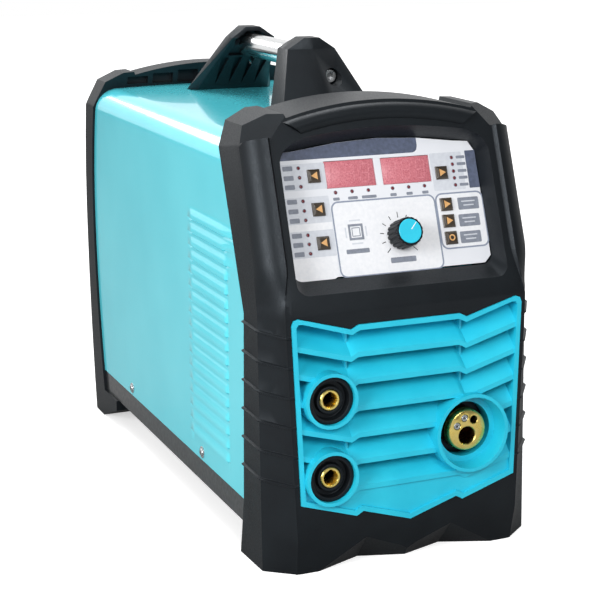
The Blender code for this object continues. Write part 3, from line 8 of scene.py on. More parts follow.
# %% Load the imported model
import bpy
import bmesh
import numpy as np
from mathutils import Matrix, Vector


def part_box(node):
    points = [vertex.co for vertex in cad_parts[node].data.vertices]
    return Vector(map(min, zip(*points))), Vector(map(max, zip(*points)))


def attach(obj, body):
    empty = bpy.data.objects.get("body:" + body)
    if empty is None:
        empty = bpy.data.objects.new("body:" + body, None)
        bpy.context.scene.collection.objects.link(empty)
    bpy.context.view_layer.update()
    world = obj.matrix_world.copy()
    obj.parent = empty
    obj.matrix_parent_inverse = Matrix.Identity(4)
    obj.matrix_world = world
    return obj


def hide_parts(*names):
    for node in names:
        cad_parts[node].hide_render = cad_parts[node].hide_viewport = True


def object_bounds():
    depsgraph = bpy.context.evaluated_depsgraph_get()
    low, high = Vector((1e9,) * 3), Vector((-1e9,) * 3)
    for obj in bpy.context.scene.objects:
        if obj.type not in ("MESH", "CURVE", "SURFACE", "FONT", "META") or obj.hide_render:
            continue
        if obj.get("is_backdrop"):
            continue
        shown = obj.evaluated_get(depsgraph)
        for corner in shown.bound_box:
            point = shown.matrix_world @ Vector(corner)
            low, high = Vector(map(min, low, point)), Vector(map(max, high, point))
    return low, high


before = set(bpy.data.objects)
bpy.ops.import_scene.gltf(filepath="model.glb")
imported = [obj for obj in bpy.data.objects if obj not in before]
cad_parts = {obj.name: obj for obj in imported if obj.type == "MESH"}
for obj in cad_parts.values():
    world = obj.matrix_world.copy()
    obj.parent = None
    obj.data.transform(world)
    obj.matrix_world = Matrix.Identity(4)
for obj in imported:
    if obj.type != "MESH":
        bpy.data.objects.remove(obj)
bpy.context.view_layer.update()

# %% [markdown]
# ## Camera
# The picture is square and was taken with a long lens from a little above, on the front left
# corner. A perspective camera with the same focal length in image widths gives the same
# convergence, so the place, turn and lens below were solved from straight edges of the object.

# %% The camera
def fresh(name, data):
    """New object with its data, linked to the scene."""
    made = bpy.data.objects.new(name, data)
    bpy.context.scene.collection.objects.link(made)
    return made


lens = bpy.data.cameras.new("studio_camera")
lens.lens = 94.22
lens.sensor_width = 36.0
camera = fresh("studio_camera", lens)
camera.location = (-0.54558, -1.28945, 0.51177)
camera.rotation_euler = (np.radians(75.825), 0.0, np.radians(-23.257))
bpy.context.scene.camera = camera

# %% [markdown]
# ## Colour and nodes
# Colours are written as the sRGB hex that one reads off a picture, while a renderer adds up
# linear light, so one function turns them over. A second small function adds any node with its
# options and its sockets, which keeps each material to a few lines.

# %% Colour and node helpers
def linear(code):
    """Linear RGBA of an sRGB hex: c/12.92 below 0.04045, otherwise ((c + 0.055)/1.055) to the 2.4."""
    c = np.array([int(code[k:k + 2], 16) for k in (1, 3, 5)]) / 255
    light = np.where(c <= 0.04045, c / 12.92, ((c + 0.055) / 1.055) ** 2.4)
    return (*light.tolist(), 1.0)


def add(tree, kind, sockets=None, **options):
    """Add one shader node; a socket takes a number, a colour or the output of another node."""
    made = tree.nodes.new("ShaderNode" + kind)
    for key, value in options.items():
        setattr(made, key, value)
    for key, value in (sockets or {}).items():
        if isinstance(value, bpy.types.NodeSocket):
            tree.links.new(value, made.inputs[key])
        else:
            made.inputs[key].default_value = value
    return made


def blank(name, **sockets):
    """A material with its shader's uniform values set on the sockets."""
    mat = bpy.data.materials.new(name)
    mat.use_nodes = True
    tree = mat.node_tree
    shader = tree.nodes["Principled BSDF"]
    for key, value in sockets.items():
        shader.inputs[key.replace("_", " ")].default_value = value
    place = add(tree, "TexCoord").outputs["Object"]
    return mat, tree, shader, place


def span(tree, value, start, end, low, high, soft=False):
    """Map a value between start and end to low and high and hold it there; soft eases both ends."""
    sockets = {"Value": value, "From Min": start, "From Max": end, "To Min": low, "To Max": high}
    return add(tree, "MapRange", sockets, interpolation_type="SMOOTHSTEP" if soft else "LINEAR").outputs[0]


def between(tree, shader, socket, amount, low, high):
    """Link a socket to a value that runs from low to high as amount runs from 0.3 to 0.7."""
    if isinstance(low, str):
        ramp = add(tree, "ValToRGB", {"Fac": amount})
        for stop, place, code in zip(ramp.color_ramp.elements, (0.3, 0.7), (low, high)):
            stop.position, stop.color = place, linear(code)
        tree.links.new(ramp.outputs["Color"], shader.inputs[socket])
    else:
        tree.links.new(span(tree, amount, 0.3, 0.7, low, high), shader.inputs[socket])


def relief(tree, shader, height, depth):
    """Bump of a real depth in metres."""
    bump = add(tree, "Bump", {"Height": height, "Distance": depth})
    tree.links.new(bump.outputs["Normal"], shader.inputs["Normal"])


def noise(tree, where, size, detail=2.0):
    """Noise whose patches are a given size in metres, as a share from 0 to 1."""
    return add(tree, "TexNoise", {"Vector": where, "Scale": 1 / size, "Detail": detail}).outputs["Fac"]


# %% [markdown]
# ## Light and floor
# A plain studio. The white backdrop stands behind the object, and the room in front of it is
# dim, so black plastic stays black and metal gets something dark to reflect. Matt surfaces get
# the same soft light from everywhere. A soft box over the object draws the light edges on all
# that faces up, one on the left models the cover, one in front fills the panel and the grille,
# and one far behind draws the roof's edge.

# %% Surround
def surround(level, room):
    """World: white to the camera, a set level to matt surfaces, and to gloss and glass a white
    backdrop towards +Y that fades to the dim room towards -Y."""
    world = bpy.data.worlds.new("studio")
    world.use_nodes = True
    bpy.context.scene.world = world
    tree = world.node_tree
    rays = add(tree, "LightPath")
    way = add(tree, "SeparateXYZ", {"Vector": add(tree, "TexCoord").outputs["Generated"]})
    back = span(tree, way.outputs["Y"], -0.45, 0.30, room, 1.0, soft=True)
    shiny = add(tree, "Math", {0: rays.outputs["Is Glossy Ray"], 1: rays.outputs["Is Transmission Ray"]},
                operation="MAXIMUM")
    seen = span(tree, shiny.outputs[0], 0.0, 1.0, level, back)
    power = span(tree, rays.outputs["Is Camera Ray"], 0.0, 1.0, seen, 1.0)
    tree.links.new(power, tree.nodes["Background"].inputs["Strength"])
    tree.nodes["Background"].inputs["Color"].default_value = (1, 1, 1, 1)


def soft_box(name, spot, aim, size, watts):
    """Square area lamp at a spot, facing a point."""
    data = bpy.data.lights.new(name, "AREA")
    data.size = size
    data.energy = watts
    lamp = fresh(name, data)
    lamp.location = spot
    lamp.rotation_euler = (Vector(aim) - Vector(spot)).to_track_quat("-Z", "Y").to_euler()


surround(0.42, 0.12)
soft_box("top_box", (0.1, 0.45, 1.7), (0, 0, 0.2), 1.2, 20)
soft_box("left_box", (-1.75, -0.95, 0.85), (0, 0, 0.2), 0.9, 32)
soft_box("front_box", (-0.20, -1.65, 1.15), (0, -0.15, 0.15), 0.7, 16)
soft_box("edge_box", (-0.72, 2.7, 1.5), (0, 0, 0.3), 0.8, 11)

floor_mesh = bpy.data.meshes.new("floor")
floor_mesh.from_pydata([(-6, -6, 0), (6, -6, 0), (6, 6, 0), (-6, 6, 0)], [], [(0, 1, 2, 3)])
floor = fresh("floor", floor_mesh)
floor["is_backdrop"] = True

# %% The floor's white
paper, tree, shader, place = blank("white_paper_floor", Roughness=0.9, Specular_IOR_Level=0.1)
rays = add(tree, "LightPath")
to_camera = rays.outputs["Is Camera Ray"]
tone = span(tree, to_camera, 0.0, 1.0, 0.30, 0.80)
grey = add(tree, "CombineColor", {"Red": tone, "Green": tone, "Blue": tone})
tree.links.new(grey.outputs[0], shader.inputs["Base Color"])
reach = add(tree, "VectorMath", {0: place}, operation="LENGTH")
far = span(tree, reach.outputs["Value"], 0.7, 2.2, 0.55, 1.0, soft=True)
ahead = span(tree, add(tree, "SeparateXYZ", {"Vector": place}).outputs["Y"], -0.28, -0.85, 0.03, 0.42)
glow = add(tree, "Emission", {"Color": (1, 1, 1, 1), "Strength": span(tree, to_camera, 0.0, 1.0, ahead, far)})
both = add(tree, "AddShader", {0: shader.outputs[0], 1: glow.outputs[0]})
seen = to_camera
for kind in ("Is Glossy Ray", "Is Transmission Ray"):
    seen = add(tree, "Math", {0: seen, 1: rays.outputs[kind]}, operation="MAXIMUM").outputs[0]
pick = add(tree, "MixShader", {0: seen, 1: shader.outputs[0], 2: both.outputs[0]})
tree.links.new(pick.outputs[0], tree.nodes["Material Output"].inputs["Surface"])
floor_mesh.materials.append(paper)
bpy.context.scene.view_settings.view_transform = "Standard"

# %% [markdown]
# ## Finishes
# Each finish starts from what the real surface is and how it was made. The patterns sit on
# object coordinates, which are metres here, so a scale is one over a real size: grain drawn at
# 1.2 mm has a scale of 1/0.0012. Where the true grain is finer than a pixel it is drawn coarser,
# and the comment says so.

# %% Recipes of the finishes
def moulded_abs(name, low, high, rough, patch, pit, deep, **sockets):
    """ABS moulded in a spark-eroded tool: batch colour drifts over a patch, and fine pits break
    the highlight into specks. The real pits are 0.2 mm, drawn at over 1 mm to show."""
    mat, tree, shader, place = blank(name, IOR=1.5, **sockets)
    pits = noise(tree, place, pit)
    between(tree, shader, "Base Color", noise(tree, place, patch, 3.0), low, high)
    between(tree, shader, "Roughness", pits, *rough)
    relief(tree, shader, pits, deep)
    return mat


def powder_coat(name, low, high, rough, peel):
    """Powder paint baked on sheet steel: it flows out glossy but keeps an orange-peel wave about
    4 mm long, and its thickness shifts the colour a little over tens of millimetres."""
    mat, tree, shader, place = blank(name, Roughness=rough, IOR=1.5)
    cloud = noise(tree, place, 0.09)
    wave = noise(tree, place, 0.004, 1.0)
    between(tree, shader, "Base Color", cloud, low, high)
    between(tree, shader, "Roughness", wave, rough * 0.88, rough * 1.12)
    relief(tree, shader, wave, peel)
    shader.inputs["Coat Weight"].default_value = 0.6
    shader.inputs["Coat Roughness"].default_value = 0.03
    return mat


def turned_metal(name, low, high, rough, pitch, centre):
    """Bar metal faced in a lathe: the tool leaves rings round the axis, here drawn at the given
    pitch, and handling leaves dull patches. Behind the face the base colour turns a darker brown,
    which is painted shade inside the bores. The rings' axis is the machine's front to back."""
    mat, tree, shader, place = blank(name, Metallic=1.0, Roughness=rough)
    moved = add(tree, "Mapping", {"Vector": place, "Location": tuple(-v for v in centre)},
                vector_type="POINT")
    rings = add(tree, "TexWave", {"Vector": moved.outputs["Vector"], "Scale": 0.05 / pitch,
                                  "Distortion": 0.6, "Detail": 1.0},
                wave_type="RINGS", rings_direction="Y")
    dull = noise(tree, place, 0.006, 4.0)
    between(tree, shader, "Base Color", dull, low, high)
    unshaded_colour = shader.inputs["Base Color"].links[0].from_socket
    # painted shade: the base colour runs to dark brown behind the front face, standing in for the shade inside the
    # bores
    behind = add(tree, "VectorMath", {0: place, 1: (0.0, 1.0, -0.04)}, operation="DOT_PRODUCT")
    deep = span(tree, behind.outputs["Value"], centre[1] - 0.0010, centre[1] + 0.0080, 0.0, 1.0, soft=True)
    painted_bore_shade = add(tree, "Mix", {0: deep, 6: unshaded_colour, 7: linear("#5f421b")}, data_type="RGBA")
    tree.links.new(painted_bore_shade.outputs[2], shader.inputs["Base Color"])
    between(tree, shader, "Roughness", dull, rough * 0.7, rough * 1.4)
    relief(tree, shader, rings.outputs["Fac"], 0.00003)
    return mat


def drawn_metal(name, low, high, rough, stretch, size, detail, deep):
    """Metal that went through a die or along a polishing belt: long fine lines in Y that stretch
    the highlight, drawn at half a millimetre or more because the real ones are finer than a pixel."""
    mat, tree, shader, place = blank(name, Metallic=1.0)
    longs = add(tree, "Mapping", {"Vector": place, "Scale": (1.0, stretch, 1.0)})
    lines = noise(tree, longs.outputs["Vector"], size, detail)
    between(tree, shader, "Base Color", lines, low, high)
    between(tree, shader, "Roughness", lines, *rough)
    relief(tree, shader, lines, deep)
    return mat


def zinc_plate():
    """Bright zinc on steel: cells of a few millimetres that differ slightly in grey and gloss."""
    mat, tree, shader, place = blank("bright_zinc_steel", Metallic=1.0, Roughness=0.33)
    cells = add(tree, "TexVoronoi", {"Vector": place, "Scale": 1 / 0.003})
    grey = add(tree, "SeparateColor", {"Color": cells.outputs["Color"]})
    between(tree, shader, "Base Color", grey.outputs["Red"], "#b4b7b9", "#c7c9ca")
    between(tree, shader, "Roughness", grey.outputs["Green"], 0.27, 0.40)
    return mat


def printed_foil():
    """Polyester foil printed on its back: near white with the faint dots of screen printing and a
    low sheen from the hard-coated front."""
    mat, tree, shader, place = blank("printed_polyester_foil", Roughness=0.34, IOR=1.57)
    dots = add(tree, "TexVoronoi", {"Vector": place, "Scale": 1 / 0.0011})
    cloud = noise(tree, place, 0.05)
    between(tree, shader, "Base Color", cloud, "#d6d9df", "#dfe1e6")
    between(tree, shader, "Roughness", dots.outputs["Distance"], 0.30, 0.38)
    relief(tree, shader, dots.outputs["Distance"], 0.00001)
    return mat


def ink(name, low, high):
    """Screen-printed ink under the foil: flat colour with the slight unevenness of the squeegee,
    about 3 mm long, under the same sheen."""
    mat, tree, shader, place = blank(name, Roughness=0.34, IOR=1.57)
    pull = noise(tree, place, 0.003)
    between(tree, shader, "Base Color", pull, low, high)
    return mat


def red_filter(name, low, high):
    """Tinted acrylic over unlit digits: dusty red with a sparkle grain of 1.2 mm."""
    mat, tree, shader, place = blank(name, Roughness=0.30, IOR=1.49)
    haze = noise(tree, place, 0.0012)
    between(tree, shader, "Base Color", haze, low, high)
    between(tree, shader, "Roughness", haze, 0.26, 0.38)
    return mat


def circuit_board():
    """Green lacquer over copper tracks: a brick-like net of tracks 1.6 mm wide stands slightly
    proud and lighter than the ground between them."""
    mat, tree, shader, place = blank("lacquered_circuit_board", Roughness=0.3, IOR=1.5)
    tracks = add(tree, "TexBrick", {"Vector": place, "Scale": 1.0, "Color1": (1, 1, 1, 1),
                                    "Color2": (0.6, 0.6, 0.6, 1), "Mortar": (0, 0, 0, 1),
                                    "Brick Width": 0.009, "Row Height": 0.0022, "Mortar Size": 0.0005})
    between(tree, shader, "Base Color", tracks.outputs["Color"], "#0c4a2c", "#176b40")
    relief(tree, shader, tracks.outputs["Color"], 0.00004)
    return mat


def wound_copper():
    """Lacquered copper wire laid side by side: rounded ribs 1.4 mm apart, each a little different
    in tone where the lacquer is thicker."""
    mat, tree, shader, place = blank("lacquered_copper_winding", Metallic=0.9, Roughness=0.32)
    turns = add(tree, "TexWave", {"Vector": place, "Scale": 0.314 / 0.0014, "Distortion": 0.2},
                bands_direction="Z")
    cloud = noise(tree, place, 0.004)
    between(tree, shader, "Base Color", cloud, "#8a4a26", "#b06a38")
    relief(tree, shader, turns.outputs["Fac"], 0.0004)
    return mat


# %% The finishes
BLACK_ABS = moulded_abs("moulded_black_abs", "#0b0d10", "#101417", (0.38, 0.52), 0.035, 0.0011, 0.00007,
                        Specular_IOR_Level=0.34, Specular_Tint=linear("#dfeaf4"))
CYAN_ABS = moulded_abs("moulded_cyan_abs", "#1bb8d4", "#24c2dc", (0.34, 0.46), 0.028, 0.0012, 0.00005,
                       Specular_IOR_Level=0.55)
CYAN_COAT = powder_coat("cyan_powder_coat", "#54d0df", "#5ed8e6", 0.20, 0.000001)
BLACK_COAT = powder_coat("black_powder_coat", "#131517", "#191b1e", 0.42, 0.00008)
CHROME = drawn_metal("polished_chrome_tube", "#d9dbdc", "#e9eaea", (0.10, 0.24), 0.02, 0.0005, 2.0, 0.00002)
ZINC = zinc_plate()
ALUMINIUM = drawn_metal("extruded_aluminium", "#a9acae", "#c0c2c4", (0.30, 0.48), 0.01, 0.0007, 3.0, 0.00003)
FOIL = printed_foil()
FILTER = red_filter("red_acrylic_filter", "#b45f6b", "#cf7f88")
BOARD = circuit_board()
COPPER = wound_copper()
EURO_AT = (0.0540, -0.2404, 0.0995)
BRASS = turned_metal("turned_brass", "#ecd06c", "#f6e08c", 0.28, 0.0006, EURO_AT)
print("finishes:", len(bpy.data.materials))

# %% [markdown]
# ## From formulas to surfaces
# A new piece is a formula of two parameters worked out on a whole grid at once. The helpers
# below turn such a grid into faces, put the arrays into a mesh, close its seams, give the
# object its finish and its body, and hide the solid that it stands for.

# %% Mesh helpers
def quads(rows, cols, closed=False):
    """Faces of a point grid: each corner with its right, upper right and upper neighbour. A closed
    grid joins its last column to its first."""
    r = np.arange(rows - 1)[:, None]
    c = np.arange(cols if closed else cols - 1)[None, :]
    n = (c + 1) % cols
    return np.stack([r * cols + c, r * cols + n, (r + 1) * cols + n, (r + 1) * cols + c], -1).reshape(-1, 4)


def cleaned(mesh, merge, flat=0.0):
    """Merge points nearer than a distance, join faces that are flat to within an angle in degrees
    and turn all normals outward."""
    shape = bmesh.new()
    shape.from_mesh(mesh)
    bmesh.ops.remove_doubles(shape, verts=shape.verts, dist=merge)
    if flat:
        bmesh.ops.dissolve_limit(shape, angle_limit=np.radians(flat), verts=shape.verts, edges=shape.edges)
    bmesh.ops.recalc_face_normals(shape, faces=shape.faces)
    shape.to_mesh(mesh)
    shape.free()
    return mesh


def mesh_of(name, points, *groups):
    """Mesh from a point array and face arrays of any corner count, doubles merged, normals outward."""
    points = np.asarray(points, np.float32).reshape(-1, 3)
    corners = np.concatenate([np.asarray(g).ravel() for g in groups]).astype(np.int32)
    sizes = np.concatenate([np.full(len(g), np.asarray(g).shape[1]) for g in groups])
    mesh = bpy.data.meshes.new(name)
    mesh.vertices.add(len(points))
    mesh.vertices.foreach_set("co", points.ravel())
    mesh.loops.add(len(corners))
    mesh.loops.foreach_set("vertex_index", corners)
    mesh.polygons.add(len(sizes))
    mesh.polygons.foreach_set("loop_start", np.r_[0, np.cumsum(sizes)[:-1]].astype(np.int32))
    mesh.update(calc_edges=True)
    mesh.validate()
    return cleaned(mesh, 0.0000008)


def capped(name, rings):
    """Closed mesh from a stack of closed rings, with a flat face on the first and the last."""
    rows, n = rings.shape[:2]
    caps = np.stack([np.arange(n)[::-1], np.arange(n) + (rows - 1) * n])
    return mesh_of(name, rings, quads(rows, n, closed=True), caps)


def round_edges(made, width, degrees):
    """Two-step bevel on every edge sharper than an angle, with the flats kept flat."""
    bevel = made.modifiers.new("edge", "BEVEL")
    bevel.width, bevel.segments = width, 2
    bevel.limit_method, bevel.angle_limit = "ANGLE", np.radians(degrees)
    bevel.use_clamp_overlap = bevel.harden_normals = True


STOOD_FOR = set()


def own(name, mesh, finish, slot, body, *solids, edge=0.0, sharp=30):
    """Object for a finished mesh: smooth but for edges above an angle, rounded by a small bevel."""
    made = fresh(name, mesh)
    mesh.materials.clear()
    mesh.materials.append(finish)
    mesh.shade_smooth()
    if edge:
        round_edges(made, edge, sharp)
    else:
        mesh.set_sharp_from_angle(angle=np.radians(sharp))
    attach(made, body)
    if solids:
        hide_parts(*solids)
        STOOD_FOR.update(solids)
    print(name, len(mesh.polygons), "faces")


def leaning(y, z, lean):
    """Frame of a leaning face: X across, Y up the face, Z out of it."""
    a = np.arctan(lean)
    return np.array([[1, 0, 0, 0], [0, np.sin(a), -np.cos(a), y], [0, np.cos(a), np.sin(a), z], [0, 0, 0, 1.0]])


def put(points, place):
    """Points moved into a frame: turned by its axes, then shifted to its origin."""
    return np.asarray(points) @ place[:3, :3].T + place[:3, 3]


def at(place, x, y, out=0.0):
    """The same frame with its origin moved."""
    moved = place.copy()
    moved[:3, 3] = put(np.array([x, y, out]), place)
    return moved


FOOT_Y, KINK, FRONT_LEAN, PANEL_LEAN = -0.24438, 0.2090, 0.04, 0.385
GRILLE_FACE = leaning(FOOT_Y, 0.0, FRONT_LEAN)
PANEL_FACE = leaning(FOOT_Y + FRONT_LEAN * KINK, KINK, PANEL_LEAN)
FOIL_FACE = at(PANEL_FACE, 0, 0, -0.017)


def revolved(profile, place, sides=64, ring=False):
    """Grid of a turned shape: radius times cosine and sine of the turn, height along the frame's Z.
    A profile off the axis is a ring, so its last point joins its first."""
    profile = np.asarray(profile, float)
    if ring:
        profile = np.vstack([profile, profile[:1]])
    turn = np.linspace(0, 2 * np.pi, sides, endpoint=False)
    r, h = profile[:, :1], profile[:, 1:]
    grid = np.stack([r * np.cos(turn), r * np.sin(turn), h + 0 * turn], -1)
    return put(grid, place), quads(len(profile), sides, closed=True)


def turned(name, profile, place, sides, finish, slot, body, *solids, ring=False, sharp=40):
    """A turned piece that needs no cutting."""
    own(name, mesh_of(name, *revolved(profile, place, sides, ring)), finish, slot, body, *solids, sharp=sharp)


def rounded(corners, radius, steps=4):
    """Profile with every corner replaced by a short curve: a quadratic from radius before the
    corner to radius after it, bent towards the corner."""
    p = np.asarray(corners, float)
    before, after = np.roll(p, 1, 0), np.roll(p, -1, 0)
    a = np.linalg.norm(before - p, axis=1, keepdims=True)
    b = np.linalg.norm(after - p, axis=1, keepdims=True)
    start = p + (before - p) / a * np.minimum(radius, a * 0.45)
    end = p + (after - p) / b * np.minimum(radius, b * 0.45)
    t = np.linspace(0, 1, steps + 1)[None, :, None]
    curve = start[:, None] * (1 - t) ** 2 + 2 * p[:, None] * t * (1 - t) + end[:, None] * t ** 2
    return curve.reshape(-1, 2)


def plates(outlines, low, high, place):
    """Flat pieces between two heights, for an array of closed outlines (piece, corner, 2): points,
    side faces and both caps."""
    outlines = np.asarray(outlines, float)
    count, n = outlines.shape[:2]
    rings = np.stack([np.concatenate([outlines, np.full((count, n, 1), h)], -1) for h in (low, high)], 1)
    base, step = np.arange(count)[:, None] * 2 * n, np.arange(n)
    after = (step + 1) % n
    sides = np.stack([base + step, base + after, base + n + after, base + n + step], -1)
    return put(rings, place), sides.reshape(-1, 4), base + step[::-1], base + n + step


def prism(outline, low, high, place):
    """One such piece."""
    return plates([outline], low, high, place)


# %% [markdown]
# ## Printed panel
# The real panel is a polyester foil, printed on its back and glued to a plate. Print could be
# painted by a shader, but a printed shape has a crisp edge at any size, so each ink is a set of
# flat bars under 0.1 mm thick that lie on the plate. All bars of one ink are one array: the
# corner circle of a bar is repeated round its four corners, which gives the rounded rectangle.

# %% Ink bars
INK_FOOT = 0.00001


def printed(name, parts, finish, body="machine"):
    """A flat printed piece from its points and faces."""
    own(name, mesh_of(name, *parts), finish, "panel_foil", body, sharp=20)


def bars(name, spots, finish, lift, corner=0.0008):
    """Rounded bars: each corner is a quarter circle about a point set in from the bar's corner.
    A spot is (x, height up the panel, half width, half height)."""
    spots = np.asarray(spots, float)
    turn = (np.arange(4)[:, None] * np.pi / 2 + np.linspace(0, np.pi / 2, 6)[None, :])
    side_x = np.array([1, -1, -1, 1])[:, None] + 0 * turn
    side_y = np.array([1, 1, -1, -1])[:, None] + 0 * turn
    r = np.minimum(corner, np.minimum(spots[:, 2], spots[:, 3]))[:, None]
    x = spots[:, :1] + side_x.ravel() * (spots[:, 2:3] - r) + r * np.cos(turn).ravel()
    y = spots[:, 1:2] + side_y.ravel() * (spots[:, 3:4] - r) + r * np.sin(turn).ravel()
    printed(name, plates(np.stack([x, y], -1), INK_FOOT, lift, FOIL_FACE), finish)


INK_GREY = ink("ink_light_grey", "#c3c7cf", "#cdd1d8")
INK_WHITE = ink("ink_white", "#dddfe3", "#e5e6e9")
INK_SLATE = ink("ink_slate_blue", "#4a5264", "#59627a")
INK_LINE = ink("ink_blue_grey", "#7f889a", "#8a93a5")
INK_LABEL = ink("ink_label_grey", "#767c88", "#858b97")
INK_BLACK = ink("ink_black", "#23262b", "#2d3035")

LED_LEFT = [(-0.0695, v) for v in (0.1170, 0.1094, 0.1022, 0.0907, 0.0831, 0.0757, 0.0639, 0.0567, 0.0493)]
LED_MID = [(x, 0.0956) for x in (-0.0410, -0.0267, -0.0125, 0.0089, 0.0232, 0.0374)]
LED_RIGHT = [(0.0655, v) for v in (0.1170, 0.1114, 0.1057, 0.1001, 0.0943)]

bars("print_grey_fields", [(-0.0672, v, 0.0198, 0.0105) for v in (0.1098, 0.0833, 0.0566)]
     + [(0.0602, 0.1060, 0.0145, 0.0155)], INK_GREY, 0.00003, 0.0012)
bars("print_dividers", [(-0.0010, 0.0580, 0.0459, 0.0305), (0.0668, 0.0655, 0.0220, 0.0230)], INK_LINE, 0.00002, 0.0062)
bars("print_white_fields", [(-0.0675, 0.0580, 0.0196, 0.0300), (-0.0010, 0.0580, 0.0446, 0.0292),
                            (0.0668, 0.0655, 0.0206, 0.0217)], INK_WHITE, 0.000026, 0.0050)
bars("print_dark_field", [(0.0828, 0.1065, 0.0047, 0.0155)], INK_SLATE, 0.00004, 0.0006)
bars("print_labels", [(x - 0.0092, v, 0.0042, 0.0019) for x, v in LED_LEFT]
     + [(x + 0.0080, v, 0.0040, 0.0012) for x, v in LED_RIGHT]
     + [(x, v - 0.0052, w, 0.0012) for (x, v), w in zip(LED_MID, (0.0028, 0.0042, 0.0064, 0.0028, 0.0028, 0.0028))]
     + [(-0.0290, 0.0480, 0.0100, 0.0018), (0.0093, 0.0380, 0.0112, 0.0022)], INK_LABEL, 0.00007)
bars("print_key_fields", [(0.0745, 0.0787, 0.0095, 0.0050), (0.0733, 0.0650, 0.0095, 0.0050),
                          (0.0722, 0.0512, 0.0095, 0.0048)], INK_LABEL, 0.00006, 0.0010)
bars("print_key_lines", [(x, v + d, w, 0.0005) for x, v in ((0.0745, 0.0787), (0.0733, 0.0650), (0.0722, 0.0512))
                         for d, w in ((0.0018, 0.0062), (-0.0014, 0.0048))], INK_GREY, 0.00008, 0.0003)
bars("print_icon_lines", [(-0.0284 + dx, 0.0632 + dv, w, h) for dx, dv, w, h in (
    (0, 0.0092, 0.0048, 0.0006), (0, -0.0092, 0.0048, 0.0006), (-0.0088, 0, 0.0006, 0.0042),
    (0.0088, 0, 0.0006, 0.0042))], INK_GREY, 0.00007, 0.0003)


# %% Header band of the panel
def header_band():
    """Band under the panel's arched top: for each x from the left edge to the rounded end, the
    lower line is level and the upper line follows the panel's outline."""
    x = np.linspace(-0.0855, 0.0360, 120)
    top = np.interp(x, [-0.0873, -0.0823, -0.0700, -0.0360, 0.0, 0.0360],
                    [0.1215, 0.1297, 0.1307, 0.1351, 0.1369, 0.1351])
    low = 0.1233 + 0.0055 * (1 - np.sqrt(np.clip(1 - ((x - 0.0305) / 0.0055).clip(0, 1) ** 2, 0, 1)))
    low = np.minimum(low, top - 0.0002)
    loop = np.concatenate([np.stack([x, low], -1), np.stack([x, top], -1)[::-1]])
    return prism(loop, INK_FOOT, 0.00004, FOIL_FACE)


printed("print_header", header_band(), INK_SLATE)

# %% [markdown]
# ## Indicator lamps
# Each lamp is a 3 mm LED behind a clear window: a dark red dome in a pale ring. They are unlit in
# the picture, so there is no glow, only the deep red of tinted epoxy and its small highlight.

# %% Lamps
def lamp_glass():
    """Tinted epoxy: deep red and glossy, with slight flow marks 1 mm long."""
    mat, tree, shader, place = blank("tinted_red_epoxy", Roughness=0.12, IOR=1.54)
    flow = noise(tree, place, 0.001, 1.0)
    between(tree, shader, "Base Color", flow, "#5c1f26", "#742a33")
    return mat


LAMP = lamp_glass()


def lamps(name, spots, finish, profile):
    """One revolved profile set down at every spot: a grid of turn by profile, shifted by the spot."""
    shape, faces = revolved(profile, np.eye(4), 20)
    spots = np.asarray(spots, float)
    shift = np.column_stack([spots, 0 * spots[:, :1]])[:, None, None]
    grid = shape[None] + shift
    count = shape.shape[0] * shape.shape[1]
    every = (np.arange(len(spots))[:, None, None] * count + faces[None]).reshape(-1, 4)
    own(name, mesh_of(name, put(grid, FOIL_FACE), every), finish, "red_window", "machine", sharp=50)


ALL_LEDS = LED_LEFT + LED_MID + LED_RIGHT
lamps("indicator_domes", ALL_LEDS, LAMP,
      [(0, INK_FOOT), (0.00125, INK_FOOT), (0.00125, 0.0001), (0.0009, 0.00038), (0, 0.00048)])
lamps("indicator_rings", ALL_LEDS, INK_LABEL,
      [(0.00125, INK_FOOT), (0.00165, INK_FOOT), (0.00165, 0.00009), (0.00125, 0.00009), (0.00125, INK_FOOT)])

# %% [markdown]
# ## Display windows
# Two red acrylic windows cover seven-segment digits. Unlit digits still show faintly, a little
# lighter than the filter, so each window gets a chamfered block and three digits of flat hexagons.

# %% Windows and unlit digits
def window_block(name, x, v):
    """Block whose section across is the window less a chamfer at its front edge."""
    ring = np.array([[-1, -1], [1, -1], [1, 1], [-1, 1]]) * np.array([0.0214, 0.0106])
    levels = np.array([[1.0, -0.0058], [1.0, -0.0008], [0.975, -0.0005]])
    grid = np.stack([np.column_stack([ring - np.sign(ring) * (1 - s) * 0.0214, np.full(4, h)]) for s, h in levels])
    own(name, capped(name, put(grid, at(FOIL_FACE, x, v))), FILTER, "red_window", "machine", name)


def digit_segments(name, x, v):
    """Seven hexagons per digit: a segment is a hexagon stretched along its bar, either level or
    turned a quarter, set at the digit's seven places and leaned by a tenth."""
    reach, half = 0.0033, 0.00052
    hexagon = np.array([[-1, 0], [-0.84, 1], [0.84, 1], [1, 0], [0.84, -1], [-0.84, -1]]) * np.array([reach, half])
    level = np.array([[0, 0.0072], [0, 0.0], [0, -0.0072]])
    upright = np.array([[-0.0036, 0.0036], [0.0036, 0.0036], [-0.0036, -0.0036], [0.0036, -0.0036]])
    flat = np.concatenate([hexagon[None] + level[:, None], hexagon[None, :, ::-1] + upright[:, None]])
    places = np.array([-0.0128, 0.0, 0.0128])
    every = flat[None] + np.column_stack([places, 0 * places])[:, None, None]
    every[..., 0] += 0.1 * every[..., 1]
    parts = plates(every.reshape(-1, 6, 2), -0.00049, -0.00044, at(FOIL_FACE, x, v))
    own(name, mesh_of(name, *parts), DIGITS, "red_window", "machine", sharp=20)


DIGITS = red_filter("unlit_digit_diffuser", "#bb6975", "#d38790")
for name, x, v in (("display_left", -0.0261, 0.1100), ("display_right", 0.0232, 0.1097)):
    window_block(name, x, v)
    digit_segments(name + "_digits", x, v)

# %% [markdown]
# ## Push buttons
# Each button is a moulded square with sloping flanks and a printed arrow. The flanks catch the
# light differently from the top, which is why the arrow seems to sit in a frame.

